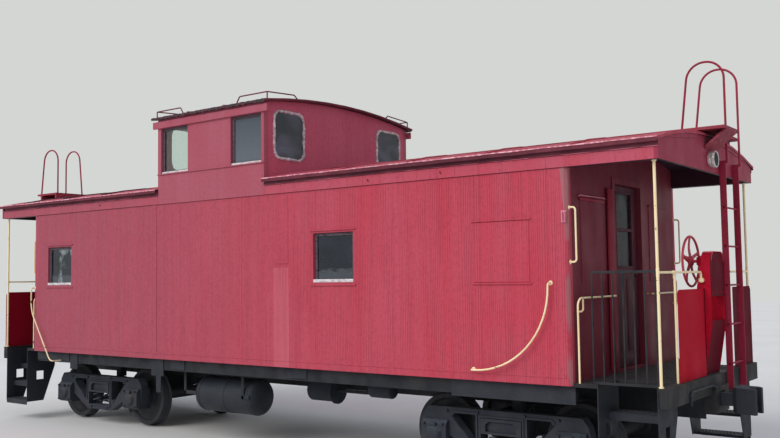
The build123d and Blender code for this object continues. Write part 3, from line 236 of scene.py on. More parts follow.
def lapped(tree, colour, height, faded, pitch, streak):
    """Colour and relief of side sheets with lap seams at uneven spacing, and one paler board"""
    x, y, z = place_axes(tree)
    place = sums(tree, "DIVIDE", x, pitch)
    seam = cells(tree, place, "DISTANCE_TO_EDGE", 0.9)["Distance"]
    sheet = cells(tree, place, "F1", 0.9)["Color"]
    sheet = put(tree, "ShaderNodeSeparateXYZ", {"Vector": sheet}).outputs["X"]
    worn = ramp(tree, grain(tree, 1.0, (4, 4, 0.7), 4.0, 19.0), 0.34, 0.56, 0.3, 1.0)
    seam = times(tree, fall(tree, seam, 0.0, LAP_SEAM / pitch), worn, ramp(tree, sheet, 0.1, 0.7, 0.25, 1.0))
    first, last, top = PALE_BOARD
    turned = times(tree, x, ramp(tree, y, -0.01, 0.01, 1.0, -1.0))
    board = times(
        tree, ramp(tree, turned, first, first + SOFT_EDGE), fall(tree, turned, last, last + SOFT_EDGE),
        fall(tree, z, top, top + SOFT_EDGE), ramp(tree, streak, 0.35, 0.65, 0.12, 0.55),
    )
    colour = layers(
        tree, colour, (ramp(tree, sheet, 0.2, 1.0, 0.0, 0.24), faded), (board, (206, 104, 118)),
        (seam, (104, 14, 34)),
    )
    return colour, sums(tree, "SUBTRACT", height, seam)


def aged_paint(
    name, fresh, faded, grime, pitch=0.0, far=None, inside_shade=None, front_shade=None, corner=None, gloss=0.5, shine=0.28
):
    """Old brushed paint with upright streaks, and lap seams where it has a pitch; far is its colour towards end B
    and corner its colour along the body's corners; inside is a painted shade where it faces down or in, and front
    a painted shade where it faces out of an end past the panel edge, and in part where it faces back along the car"""
    tree, shader = start(name)
    shader.inputs["Specular IOR Level"].default_value = shine
    x, y, z = place_axes(tree)
    broad = grain(tree, 0.7, detail=3.0)
    streak = grain(tree, 1.0, (5, 5, 0.28), 5.0, 3.0)
    fine = grain(tree, 1.0, (30, 30, 0.8), 2.0, 7.0)
    blotch = grain(tree, 3.2, (1, 1, 0.7), 6.0, 11.0)
    speck = grain(tree, 26.0, detail=2.0, shift=17.0)
    colour = over(tree, ramp(tree, sums(tree, "ADD", broad, streak), 0.72, 1.28), fresh, faded)
    if far:
        along = sums(tree, "ADD", x, times(tree, broad, 2.4))
        colour = over(tree, ramp(tree, along, -2.6, 4.4, 0.95, 0.0), colour, far)
    colour = layers(
        tree, colour, (ramp(tree, fine, 0.52, 0.78, 0.0, 0.16), grime),
        (ramp(tree, blotch, 0.6, 0.75, 0.0, 0.2), faded), (ramp(tree, speck, 0.4, 0.75, 0.0, 0.2), grime),
    )
    height = times(tree, blotch, 0.3)
    if pitch:
        colour, height = lapped(tree, colour, height, faded, pitch, streak)
    if corner:
        across = sums(tree, "SUBTRACT", sums(tree, "ABSOLUTE", y), HALF_W)
        along = sums(tree, "SUBTRACT", sums(tree, "ABSOLUTE", x), HALF_L)
        ragged = times(tree, grain(tree, 2.4, detail=5.0, shift=23.0), 0.07)
        reach = sums(tree, "ADD", across, along, ragged, ramp(tree, z, 2.6, 3.1, 0.0, 0.03))
        colour = over(tree, ramp(tree, reach, 0.004, 0.012, 0.0, 0.85), colour, corner)
    if front_shade or inside_shade:
        turn_x, turn_y, turn_z = facing_axes(tree)
        out_x = times(tree, turn_x, x)
    # Painted shade: the front colour laid on faces turned out of an end past the panel edge, and at up to 45% on
    # faces turned back along the car
    if front_shade:
        past = ramp(tree, times(tree, x, y), PANEL_EDGE - 0.03, PANEL_EDGE + 0.03)
        out = times(tree, ramp(tree, out_x, 1.5, 3.5), past)
        colour = layers(tree, colour, (out, front_shade), (ramp(tree, out_x, -3.5, -1.5, 0.45, 0.0), front_shade))
    # Painted shade: the inside colour laid on faces turned down or in towards the body
    if inside_shade:
        outward = sums(tree, "ADD", out_x, times(tree, turn_y, y))
        turned = sums(tree, "MINIMUM", outward, sums(tree, "ADD", turn_z, 0.35))
        colour = over(tree, fall(tree, turned, -0.4, -0.05), colour, inside_shade)
    finish(tree, shader, colour, ramp(tree, blotch, 0.2, 0.8, gloss, gloss + 0.25), height, 0.004)


def dusty_metal(name, metal, dust, rust, gloss=0.55, amount=0.8):
    """Dark painted or cast metal with dust on what faces up, and rust in patches"""
    tree, shader = start(name)
    cloud = grain(tree, 5.0, detail=6.0)
    speck = grain(tree, 42.0, detail=3.0, shift=5.0)
    patch = grain(tree, 3.0, detail=7.0, shift=13.0)
    up = ramp(tree, facing_axes(tree)["Z"], -0.1, 0.9)
    lying = times(tree, sums(tree, "ADD", up, 0.25), ramp(tree, cloud, 0.25, 0.75, 0.2, amount))
    colour = layers(
        tree, metal, (lying, dust), (ramp(tree, patch, 0.58, 0.72, 0.0, 0.6), rust),
        (ramp(tree, speck, 0.55, 0.8, 0.0, 0.3), dust),
    )
    finish(tree, shader, colour, ramp(tree, cloud, 0.2, 0.8, gloss, 0.95), speck, 0.0015)


def scuffed_paint(name, paint, worn, scuff):
    """Thick pipe paint with dark scuffs and a warm stain near joints"""
    tree, shader = start(name)
    stain = grain(tree, 4.0, detail=5.0)
    mark = grain(tree, 9.0, (1, 1, 2.2), 6.0, 8.0)
    colour = layers(
        tree, paint, (ramp(tree, stain, 0.4, 0.75, 0.0, 0.7), worn), (ramp(tree, mark, 0.63, 0.7), scuff)
    )
    finish(tree, shader, colour, ramp(tree, stain, 0.3, 0.7, 0.35, 0.6), mark, 0.001)


def dull_metal(name, bright, worn, gloss):
    """Bare or silver-painted metal with fine wear"""
    tree, shader = start(name)
    shader.inputs["Metallic"].default_value = 0.35
    wear = grain(tree, 16.0, (1, 1, 3), 6.0)
    colour = over(tree, ramp(tree, wear, 0.4, 0.65), bright, worn)
    finish(tree, shader, colour, ramp(tree, wear, 0.3, 0.7, gloss, gloss + 0.3), wear, 0.0006)


def window_pane(name):
    """Old glass: dark as a painted shade of the dim inside, with a grey wavy foot in the sides, a pale painted
    reflection of cloud in the side window towards end B, milky, clear or murky in the cupola
    """
    tree, shader = start(name)
    x, y, z = place_axes(tree)
    cloud = grain(tree, 2.2, (1, 1, 1.5), 4.0)
    dust = grain(tree, 34.0, detail=3.0, shift=4.0)
    wave = times(tree, grain(tree, 9.0, (1, 1, 3.0), 4.0, 6.0), 0.16)
    high = ramp(tree, z, 3.4, 3.5)
    inner = fall(tree, sums(tree, "ABSOLUTE", y), 1.44, 1.46)
    side = sums(tree, "SUBTRACT", 1.0, inner)
    foot = times(tree, fall(tree, sums(tree, "SUBTRACT", z, wave), 2.2, 2.25), fall(tree, z, 3.0, 3.1))
    cloud_reflection = times(tree, ramp(tree, grain(tree, 5.0, (1, 1, 0.6), 3.0, 2.0), 0.5, 0.62), fall(tree, x, -3.4, -3.0))
    milky = times(tree, high, ramp(tree, x, -0.5, -0.4), side)
    clear = times(tree, high, fall(tree, x, -0.75, -0.65))
    murky = times(tree, high, inner, ramp(tree, x, 0.0, 0.01))
    # The dark ground, laid mostly opaque, is a painted shade of the dim inside; the pale blot is a painted
    # reflection of cloud; the grey specks are dust that also stand in for the sky's painted reflection
    colour = layers(
        tree, over(tree, ramp(tree, cloud, 0.35, 0.7), (14, 22, 34), (30, 40, 54)),
        (times(tree, foot, 0.6), (80, 86, 92)),
        (times(tree, cloud_reflection, 0.8), (168, 180, 178)),
        (milky, over(tree, ramp(tree, z, 3.7, 4.3), (96, 104, 112), (76, 84, 94))),
        (clear, (240, 250, 244)),
        (ramp(tree, dust, 0.55, 0.8, 0.0, 0.12), (150, 152, 152)),
        (murky, over(tree, ramp(tree, cloud, 0.4, 0.6), (36, 42, 62), (96, 98, 122))),
    )
    thin = sums(tree, "SUBTRACT", ramp(tree, clear, 0.0, 1.0, 0.8, 0.02), times(tree, murky, 0.3))
    solid = sums(tree, "MAXIMUM", foot, cloud_reflection, times(tree, milky, 0.9), thin)
    finish(tree, shader, colour, ramp(tree, cloud, 0.3, 0.8, 0.03, 0.14))
    tree.links.new(sums(tree, "SUBTRACT", 1.0, solid), shader.inputs["Transmission Weight"])


def murky_glass(name, dark, film):
    """Door glass under a film of dirt, in the porch's shade"""
    tree, shader = start(name)
    shader.inputs["Specular IOR Level"].default_value = 0.08
    shader.inputs["Transmission Weight"].default_value = 0.2
    smear = grain(tree, 5.0, (1, 1, 0.5), 5.0)
    colour = over(tree, ramp(tree, smear, 0.45, 0.7), dark, film)
    finish(tree, shader, colour, ramp(tree, smear, 0.3, 0.8, 0.2, 0.45))


def lumpy_seal(name, pale, dirty):
    """Weathered sealant with dirt in its hollows"""
    tree, shader = start(name)
    lump = grain(tree, 24.0, detail=5.0)
    colour = over(tree, ramp(tree, lump, 0.4, 0.65), dirty, pale)
    finish(tree, shader, colour, ramp(tree, lump, 0.3, 0.7, 0.6, 0.9), lump, 0.004)


def worn_boards(name, pale, dark, pitch):
    """Boards laid along the car with grain along them"""
    tree, shader = start(name)
    fibre = grain(tree, 1.0, (1.5, 45, 45), 6.0)
    gap = cells(tree, sums(tree, "DIVIDE", place_axes(tree)["Y"], pitch), "DISTANCE_TO_EDGE", 0.0)["Distance"]
    joint = fall(tree, gap, 0.0, 0.04)
    colour = over(tree, joint, over(tree, ramp(tree, fibre, 0.35, 0.7), pale, dark), (20, 17, 15))
    height = sums(tree, "SUBTRACT", fibre, joint)
    finish(tree, shader, colour, ramp(tree, fibre, 0.2, 0.8, 0.6, 0.9), height, 0.002)


def seat_cover(name, pale, dark):
    """Cracked seat covering"""
    tree, shader = start(name)
    coords = put(tree, "ShaderNodeTexCoord").outputs["Object"]
    crack = put(tree, "ShaderNodeTexVoronoi", {"Vector": coords, "Scale": 60.0}, feature="DISTANCE_TO_EDGE")
    wear = grain(tree, 6.0)
    finish(
        tree, shader, over(tree, ramp(tree, wear, 0.4, 0.7), pale, dark), ramp(tree, wear, 0.3, 0.7, 0.45, 0.7),
        ramp(tree, crack.outputs["Distance"], 0.0, 0.1), 0.001,
    )


SIDE_FAR = (166, 80, 96)
SIDE_GRIME = (112, 30, 48)
aged_paint("side_boards", (192, 60, 78), (190, 74, 92), SIDE_GRIME, 0.115, SIDE_FAR, corner=(168, 108, 114))
aged_paint("body_red", (188, 70, 88), (188, 82, 100), SIDE_GRIME, 1.3, SIDE_FAR, inside_shade=(60, 28, 42))
aged_paint("cupola_red", (168, 78, 94), (171, 88, 104), (130, 52, 72))
aged_paint("shade_red", (192, 82, 106), (198, 90, 112), (120, 44, 66))
aged_paint("end_red", (150, 44, 66), (158, 54, 78), (96, 24, 42), inside_shade=(52, 30, 42))
aged_paint("wall_end_red", (112, 32, 48), (128, 44, 60), (70, 22, 36), corner=(196, 142, 146))
aged_paint("door_dark", (76, 32, 46), (92, 38, 54), (50, 20, 34))
# deep_red's front colour is a painted shade on its faces turned out of each end
aged_paint("deep_red", (180, 14, 38), (188, 24, 50), (92, 8, 22), front_shade=(96, 14, 32), gloss=0.6, shine=0.08)
aged_paint("wheel_red", (214, 54, 76), (224, 92, 110), (140, 20, 40), gloss=0.4)
aged_paint("frame_red", (134, 24, 46), (146, 36, 58), (84, 14, 32))
aged_paint("ladder_red", (150, 26, 52), (158, 40, 66), (84, 12, 32))
aged_paint("roof_red", (166, 52, 72), (182, 74, 94), (84, 24, 38), inside_shade=(50, 30, 42))
# Dark maroon; on the roof's edge strip and the band under the eaves it is a painted shade
aged_paint("eave_dark", (88, 32, 46), (116, 48, 62), (52, 20, 32))
# Pale pink; on the line along the letterboard's top it is a painted highlight
aged_paint("cap_pink", (206, 106, 126), (220, 140, 156), (140, 48, 68), far=(196, 120, 136))
aged_paint("locker_tan", (150, 132, 112), (176, 160, 140), (90, 76, 62))
dusty_metal("frame_black", (26, 30, 38), (62, 70, 82), (52, 48, 48), amount=0.6)
# Darker copy of frame_black for the sills and bearers under the body, a painted shade; the lamp lenses take it too
dusty_metal("frame_dark", (22, 25, 32), (46, 52, 62), (40, 34, 34), amount=0.4)
dusty_metal("cast_black", (30, 34, 43), (76, 84, 96), (58, 52, 50), amount=0.65)
dusty_metal("wheel_steel", (32, 34, 40), (72, 74, 80), (64, 52, 46), 0.5, 0.4)
dusty_metal("gate_black", (17, 20, 27), (40, 45, 55), (28, 26, 28), 0.4, 0.4)
dusty_metal("deck_black", (24, 23, 27), (54, 51, 54), (50, 42, 40), amount=0.5)
scuffed_paint("rail_yellow", (252, 232, 186), (240, 212, 160), (48, 38, 34))
# Silver frames darkened to a grey that stands for their shaded tops and sides, a painted shade; the white sills
# below are their painted highlight
dull_metal("window_silver", (96, 84, 92), (76, 62, 70), 0.5)
dull_metal("lamp_grey", (214, 208, 206), (168, 160, 160), 0.4)
dull_metal("lit_sill_white", (224, 218, 220), (190, 180, 184), 0.5)
window_pane("glass")
murky_glass("door_glass", (30, 32, 42), (58, 60, 70))
lumpy_seal("gasket_grey", (226, 218, 218), (172, 154, 158))
lumpy_seal("roof_tar", (92, 52, 62), (36, 24, 30))
# Pale pink of the roof's lip: a painted highlight, broken along its length
lumpy_seal("drip_pink", (248, 192, 202), (206, 116, 134))
worn_boards("floor_wood", (120, 96, 72), (78, 60, 46), 0.11)
worn_boards("walk_red", (158, 50, 70), (112, 32, 48), 0.13)
seat_cover("seat_tan", (150, 128, 104), (108, 90, 74))
# The sills and bearers take frame_dark, a painted shade under the body
NODE_FINISH = {
    "side_wall_near": "side_boards", "side_wall_far": "side_boards", "cupola_ends": "shade_red",
    "cupola_sides": "cupola_red", "roof_walkways": "walk_red", "end_fascias": "end_red", "door_a": "door_dark",
    "door_b": "door_dark", "end_wall_a": "wall_end_red", "end_wall_b": "wall_end_red", "ladders": "ladder_red",
    "side_sills": "frame_dark", "centre_sill": "frame_dark", "cross_bearers": "frame_dark",
    "door_glass_a": "door_glass", "door_glass_b": "door_glass",
}
for part in frame["record"]["subparts"]:
    node = frame["nodes"][part["node"]]
    node.data.materials.clear()
    node.data.materials.append(FINISHES[NODE_FINISH.get(part["node"], part["material_slot"])])


# Pieces
def piece(name, mesh, finish_name, replaced=(), slot=None, body="carbody"):
    """Plain mesh made a piece of the car with its finish; its slot, that of its finish where no other is given, is
    worked out but not kept
    """
    mesh.materials.clear()
    mesh.materials.append(FINISHES[finish_name])
    obj = add_object(name, mesh)
    slot = slot or finish_name
    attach(obj, body)
    if replaced:
        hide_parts(*replaced)


def from_bmesh(name, bm):
    """Mesh of a bmesh with its doubles merged and faces outward"""
    bmesh.ops.remove_doubles(bm, verts=bm.verts, dist=MERGE)
    bmesh.ops.recalc_face_normals(bm, faces=bm.faces)
    mesh = bpy.data.meshes.new(name)
    bm.to_mesh(mesh)
    bm.free()
    mesh.shade_smooth()
    mesh.set_sharp_from_angle(angle=math.radians(38))
    return mesh


def add_box(bm, one, other, ease=0.004):
    """Box with eased edges between two opposite corners"""
    made = bmesh.ops.create_cube(bm, size=1.0)["verts"]
    one, other = Vector(one), Vector(other)
    size = Vector([abs(a - b) for a, b in zip(one, other)])
    bmesh.ops.scale(bm, vec=size, verts=made)
    bmesh.ops.translate(bm, vec=(one + other) / 2, verts=made)
    edges = list({edge for vert in made for edge in vert.link_edges})
    bmesh.ops.bevel(
        bm, geom=edges, offset=min(ease, min(size) / 3), segments=2, affect="EDGES", profile=0.5
    )


def plate_mesh(name, ways, plates):
    """Eased plates of end A, set there or turned half round to end B, or both"""
    bm = bmesh.new()
    for way in ways:
        for (x0, y0, z0), (x1, y1, z1), *ease in plates:
            add_box(bm, (way * x0, way * y0, z0), (way * x1, way * y1, z1), *ease)
    return from_bmesh(name, bm)


def skin(bm, rings, capped=True):
    """Faces from each ring of points to the next, and over both ends"""
    for ring, after in zip(rings, rings[1:]):
        for turn in range(len(ring)):
            near = (turn + 1) % len(ring)
            bm.faces.new((ring[turn], ring[near], after[near], after[turn]))
    if capped:
        bm.faces.new(rings[0])
        bm.faces.new(rings[-1])


def facing_way(profile, way):
    """Radii and places along an axis, turned to face end A or B"""
    return [(radius, way * along) for radius, along in profile]


def add_turned(bm, profile, axis, centre, segments=64):
    """Body turned about an axis through its centre, from radius and place along the axis"""
    spin = {"X": (0, 1, 2), "Y": (1, 0, 2)}[axis]
    rings = []
    for radius, along in profile:
        ring = []
        for step in range(segments if radius else 1):
            angle = 2 * math.pi * step / segments
            place = [0.0, 0.0, 0.0]
            place[spin[0]] = along
            place[spin[1]] = radius * math.cos(angle)
            place[spin[2]] = radius * math.sin(angle)
            ring.append(bm.verts.new(Vector(place) + Vector(centre)))
        rings.append(ring)
    for ring, after in zip(rings, rings[1:]):
        for step in range(segments):
            near = (step + 1) % segments
            places = ((ring, step), (ring, near), (after, near), (after, step))
            corners = [around[place % len(around)] for around, place in places]
            bm.faces.new(list(dict.fromkeys(corners)))


def other_end(points):
    """The same points after half a turn about the upright axis"""
    return [(-point[0], -point[1]) + tuple(point[2:]) for point in points]


def other_side(points):
    """The same points mirrored across the car"""
    return [(point[0], -point[1]) + tuple(point[2:]) for point in points]


def all_corners(*runs):
    """Runs of one corner, and their copies at the other three"""
    return [copy for run in runs for side in (run, other_side(run)) for copy in (side, other_end(side))]


def both_ends(*runs):
    """Runs of end A and their half-turned copies"""
    return [copy for run in runs for copy in (run, other_end(run))]


def new_tree(name, inputs):
    """Geometry tree with named inputs, their identifiers, and the sockets they come in by"""
    tree = bpy.data.node_groups.new(name, "GeometryNodeTree")
    tree.interface.new_socket("Geometry", in_out="INPUT", socket_type="NodeSocketGeometry")
    found = {}
    for label, kind in inputs:
        found[label] = tree.interface.new_socket(label, in_out="INPUT", socket_type=kind).identifier
    tree.interface.new_socket("Geometry", in_out="OUTPUT", socket_type="NodeSocketGeometry")
    return tree, found, put(tree, "NodeGroupInput").outputs


def close_tree(tree, geometry, material):
    """Instances made real, the finish set, and the result sent out"""
    real = put(tree, "GeometryNodeRealizeInstances", {"Geometry": geometry}).outputs[0]
    named = put(tree, "GeometryNodeSetMaterial", {"Geometry": real, "Material": material}).outputs[0]
    put(tree, "NodeGroupOutput", {"Geometry": named})


def pipe_tree():
    """Round pipe along runs of points, with each point's own bend"""
    tree, found, given = new_tree(
        "pipe_run", (("Radius", "NodeSocketFloat"), ("Sides", "NodeSocketInt"), ("Finish", "NodeSocketMaterial"))
    )
    curve = put(tree, "GeometryNodeMeshToCurve", {"Mesh": given["Geometry"]}).outputs[0]
    bend = put(tree, "GeometryNodeInputNamedAttribute", {"Name": "bend"}, data_type="FLOAT").outputs[0]
    bends = {"Curve": curve, "Count": 16, "Radius": bend, "Limit Radius": True}
    bent = put(tree, "GeometryNodeFilletCurve", bends, mode="POLY").outputs[0]
    ring = put(tree, "GeometryNodeCurvePrimitiveCircle", {"Resolution": given["Sides"], "Radius": given["Radius"]})
    pipe = put(
        tree, "GeometryNodeCurveToMesh", {"Curve": bent, "Profile Curve": ring.outputs[0], "Fill Caps": True}
    ).outputs[0]
    close_tree(tree, pipe, given["Finish"])
    return tree, found


def stud_tree():
    """Bolt heads set on points, each along its point's own direction"""
    tree, found, given = new_tree(
        "bolt_heads",
        (
            ("Radius", "NodeSocketFloat"), ("Height", "NodeSocketFloat"), ("Sides", "NodeSocketInt"),
            ("Seed", "NodeSocketInt"), ("Finish", "NodeSocketMaterial"),
        ),
    )
    head = put(
        tree, "GeometryNodeMeshCone",
        {
            "Vertices": given["Sides"], "Radius Bottom": given["Radius"],
            "Radius Top": times(tree, given["Radius"], 0.72), "Depth": given["Height"],
        },
    ).outputs["Mesh"]
    facing = put(tree, "GeometryNodeInputNamedAttribute", {"Name": "facing"}, data_type="FLOAT_VECTOR").outputs[0]
    turn = put(tree, "FunctionNodeAlignRotationToVector", {"Vector": facing}, axis="Z").outputs[0]
    chance = put(tree, "FunctionNodeRandomValue", {"Seed": given["Seed"], 3: math.pi}, data_type="FLOAT")
    spin = put(tree, "ShaderNodeCombineXYZ", {"Z": chance.outputs[1]}).outputs[0]
    turned = put(
        tree, "FunctionNodeRotateRotation", {"Rotation": turn, "Rotate By": spin}, rotation_space="LOCAL"
    ).outputs[0]
    studs = put(
        tree, "GeometryNodeInstanceOnPoints", {"Points": given["Geometry"], "Instance": head, "Rotation": turned}
    ).outputs[0]
    close_tree(tree, studs, given["Finish"])
    return tree, found


PIPES = pipe_tree()
STUDS = stud_tree()


def grown(name, mesh, tree, found, values):
    """Mesh that a geometry tree makes from a base mesh"""
    base = add_object(name, mesh)
    modifier = base.modifiers.new(name, "NODES")
    modifier.node_group = tree
    for label, value in values.items():
        modifier[found[label]] = value
    result = bpy.data.meshes.new_from_object(base.evaluated_get(bpy.context.evaluated_depsgraph_get()))
    bpy.data.objects.remove(base)
    result.name = name
    return result


def pipes(name, runs, radius, finish_name, replaced=(), slot=None, sides=14):
    """Piece of round pipes along runs of points, each with x, y, z and its bend"""
    mesh = bpy.data.meshes.new(name)
    verts, edges, bends = [], [], []
    for run in runs:
        for index, point in enumerate(run):
            if index:
                edges.append((len(verts) - 1, len(verts)))
            verts.append(point[:3])
            bends.append(point[3] if len(point) > 3 else 0.0)
    mesh.from_pydata(verts, edges, [])
    mesh.attributes.new("bend", "FLOAT", "POINT").data.foreach_set("value", bends)
    made = grown(name, mesh, *PIPES, {"Radius": radius, "Sides": sides, "Finish": FINISHES[finish_name]})
    made.shade_smooth()
    made.set_sharp_from_angle(angle=math.radians(50))
    piece(name, made, finish_name, replaced, slot)


def studs(name, places, radius, height, finish_name, sides=6, seed=1, body="carbody"):
    """Piece of bolt heads at places, each with x, y, z and the way it faces"""
    mesh = bpy.data.meshes.new(name)
    mesh.from_pydata([place[:3] for place in places], [], [])
    facing = [share for place in places for share in place[3]]
    mesh.attributes.new("facing", "FLOAT_VECTOR", "POINT").data.foreach_set("vector", facing)
    values = {"Radius": radius, "Height": height, "Sides": sides, "Seed": seed, "Finish": FINISHES[finish_name]}
    piece(name, grown(name, mesh, *STUDS, values), finish_name, body=body)


def wheelset_mesh(name, centre):
    """Two dished wheels with shaped flanges on one axle"""
    half = [
        (0.080, 0.0), (0.080, 0.640), (0.090, 0.654), (0.120, 0.656), (0.125, 0.661), (0.126, 0.712),
        (0.150, 0.731), (0.322, 0.732), (0.345, 0.722), (0.357, 0.680), (0.361, 0.676), (0.436, 0.676),
        (0.443, 0.680), (0.444, 0.688), (0.437, 0.698), (0.424, 0.705), (0.4192, 0.713), (0.4165, 0.808),
        (0.410, 0.816), (0.361, 0.816), (0.357, 0.812), (0.343, 0.772), (0.322, 0.760), (0.150, 0.761),
        (0.126, 0.782), (0.125, 0.831), (0.120, 0.836), (0.088, 0.837), (0.080, 0.845), (0.068, 0.862),
        (0.068, 1.058), (0.0, 1.062),
    ]
    bm = bmesh.new()
    add_turned(bm, facing_way(reversed(half), -1) + half[1:], "Y", centre)
    return from_bmesh(name, bm)


for end, way in ENDS:
    for number in (1, 2):
        node = f"wheelset_{end}{number}"
        low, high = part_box(node)
        centre = ((low[0] + high[0]) / 2, 0.0, AXLE_Z)
        wheels = wheelset_mesh(node, centre)
        piece(f"wheels_{end}{number}", wheels, "wheel_steel", (node,), body=f"axle_{end}{number}")


def tank_profile(radius, length, dome):
    """Radii along a closed tank with dished ends"""
    place = length / 2 - dome
    angles = [math.pi / 2 * step / 8 for step in range(9)]
    ends = [(radius * math.sin(angle), place + dome * math.cos(angle)) for angle in angles]
    return facing_way(ends, -1) + ends[::-1]


TANK = (-0.618, -1.0, 0.634)
SMALL_TANK = (1.94, -1.0, 0.865)
HANGERS = (-1.333, -0.198)


def reservoirs():
    """Main tank with its bands and flat hangers, and the small tank"""
    bm = bmesh.new()
    middle, y, z = TANK
    add_turned(bm, tank_profile(0.238, 1.176, 0.09), "X", TANK)
    for x, wide in ((middle, 0.034), (-1.085, 0.016), (-0.15, 0.016)):
        band = [(0.236, -wide), (0.2425, -wide), (0.2425, wide), (0.236, wide)]
        add_turned(bm, band, "X", (x, y, z))
    for x in HANGERS:
        add_box(bm, (x - 0.023, -1.2495, z), (x + 0.023, -1.2375, 0.9895))
        inner = middle + math.copysign(0.51, x - middle)
        add_box(bm, (min(x, inner) - 0.023, -1.2495, z), (max(x, inner) + 0.023, -1.226, 0.68))
    x, y, z = SMALL_TANK
    add_turned(bm, tank_profile(0.1, 0.36, 0.033), "X", SMALL_TANK)
    add_box(bm, (x - 0.046, y - 0.023, z), (x + 0.046, y + 0.023, 0.9705))
    return from_bmesh("tanks", bm)


piece("tanks", reservoirs(), "frame_black", ("air_reservoir",))

BRAKE_WHEEL = (5.33, 0.035, 2.33)
RIM, RIM_THICK = 0.2668, 0.0132
HUB = (
    (0.0, -0.026), (0.034, -0.026), (0.05, -0.018), (0.062, -0.004), (0.062, 0.006), (0.044, 0.02), (0.018, 0.03),
    (0.016, 0.0735), (0.0, 0.0735),
)


def brake_wheel_mesh(name, way):
    """Round rim, tapered curved spokes, hub and shaft of a hand-brake wheel"""
    x, y, z = BRAKE_WHEEL
    centre = Vector((way * x, way * y, z))
    bm = bmesh.new()
    turns = [2 * math.pi * step / 12 for step in range(13)]
    rim = [(RIM + RIM_THICK * math.cos(a), RIM_THICK * math.sin(a)) for a in turns]
    add_turned(bm, rim, "X", centre, 72)
    add_turned(bm, facing_way(HUB, way), "X", centre, 32)
    for index in range(5):
        angle = math.radians(20 + 72 * index)
        out = Vector((0, math.cos(angle), math.sin(angle) * way))
        side = Vector((0, -math.sin(angle), math.cos(angle) * way))
        rings = []
        for share in (step / 6 for step in range(7)):
            dish = Vector((-way * 0.016 * math.sin(math.pi * share), 0, 0))
            middle = centre + out * (0.03 + share * 0.232) + dish
            wide, thick = 0.042 - 0.022 * math.sin(math.pi * share * 0.62), 0.01
            rings.append([
                bm.verts.new(middle + side * (wide * math.cos(a)) + Vector((thick * math.sin(a), 0, 0)))
                for a in (2 * math.pi * turn / 10 for turn in range(10))
            ])
        skin(bm, rings)
    return from_bmesh(name, bm)


for end, way in ENDS:
    name = f"hand_wheel_{end}"
    piece(name, brake_wheel_mesh(name, way), "wheel_red", (f"brake_wheel_{end}",), "deep_red", f"hand_brake_{end}")

# Pipes: grab irons, porch rails, roof hoops, cupola rails and ladder rungs
GRAB_Y = 1.59
GRAB_X = 4.715
GRAB_UP_Y = 1.48
pipes(
    "grab_bars",
    both_ends(
        [
            (4.45, -HALF_W, 2.126), (4.45, -GRAB_Y, 2.126, 0.03), (4.45, -GRAB_Y, 1.234, 0.86),
            (3.54, -GRAB_Y, 1.234, 0.03), (3.54, -HALF_W, 1.234),
        ],
        [
            (-4.62, -HALF_W, 2.115), (-4.62, -GRAB_Y, 2.115, 0.03), (-4.62, -GRAB_Y, 1.76, 0.5),
            (-4.09, -GRAB_Y, 0.995, 0.2), (-4.01, -GRAB_Y, 0.992, 0.02), (-4.01, -1.447, 0.992),
        ],
    ) + all_corners(
        [
            (HALF_L, -GRAB_UP_Y, 2.33), (GRAB_X, -GRAB_UP_Y, 2.33, 0.03), (GRAB_X, -GRAB_UP_Y, 2.87, 0.03),
            (HALF_L, -GRAB_UP_Y, 2.87),
        ],
        [
            (GRAB_X, -GRAB_UP_Y, DECK), (GRAB_X, -GRAB_UP_Y, 1.975, 0.09), (GRAB_X, -0.52, 1.975, 0.03),
            (HALF_L, -0.52, 1.975),
        ],
        [(GRAB_X, -1.36, 1.975), (GRAB_X, -1.36, 1.84, 0.03), (HALF_L, -1.36, 1.84)],
    ),
    0.0098, "rail_yellow", ("grab_irons",),
)
pipes(
    "porch_posts",
    both_ends(
        [(POST_X, -POST_Y, DECK), (POST_X, -POST_Y, SEAM)],
        [(POST_X, POST_Y, DECK), (POST_X, POST_Y, SEAM)],
    ),
    0.0142, "rail_yellow", ("porch_rails",), sides=20,
)
ELBOW_Y = -0.227
FLANGE_Y = -0.212
TEE_Y = -1.015
pipes(
    "porch_pipes",
    both_ends(
        [(POST_X, -POST_Y, RAIL), (POST_X, ELBOW_Y, RAIL, 0.03), (POST_X, ELBOW_Y, 2.13)],
        [(POST_X, TEE_Y, DECK), (POST_X, TEE_Y, RAIL)],
        [(POST_X, 0.775, RAIL), (POST_X, POST_Y, RAIL)],
    ),
    0.0118, "rail_yellow",
)
pipes(
    "pipe_tees",
    both_ends(
        [(POST_X, TEE_Y, RAIL - 0.06), (POST_X, TEE_Y, RAIL - 0.005)],
        [(POST_X, TEE_Y - 0.045, RAIL), (POST_X, TEE_Y + 0.045, RAIL)],
        [(POST_X, -POST_Y, RAIL - 0.04), (POST_X, -POST_Y, RAIL + 0.04)],
        [(POST_X, POST_Y, RAIL - 0.04), (POST_X, POST_Y, RAIL + 0.04)],
    ),
    0.0162, "rail_yellow", sides=20,
)
pipes(
    "pipe_flanges",
    both_ends(
        [(POST_X, FLANGE_Y - 0.012, 2.13), (POST_X, FLANGE_Y + 0.0117, 2.13)],
        [(POST_X, ELBOW_Y, 2.148), (POST_X, ELBOW_Y, 2.112)],
    ),
    0.0262, "rail_yellow", sides=24,
)
POST_FEET = [(x, y) for x in (POST_X, -POST_X) for y in (POST_Y, -POST_Y)]
pipes(
    "post_feet", [[(x, y, DECK), (x, y, DECK + 0.014)] for x, y in POST_FEET]
    + [[(x, y, SEAM - 0.01), (x, y, SEAM)] for x, y in POST_FEET],
    0.024, "rail_yellow", sides=24,
)


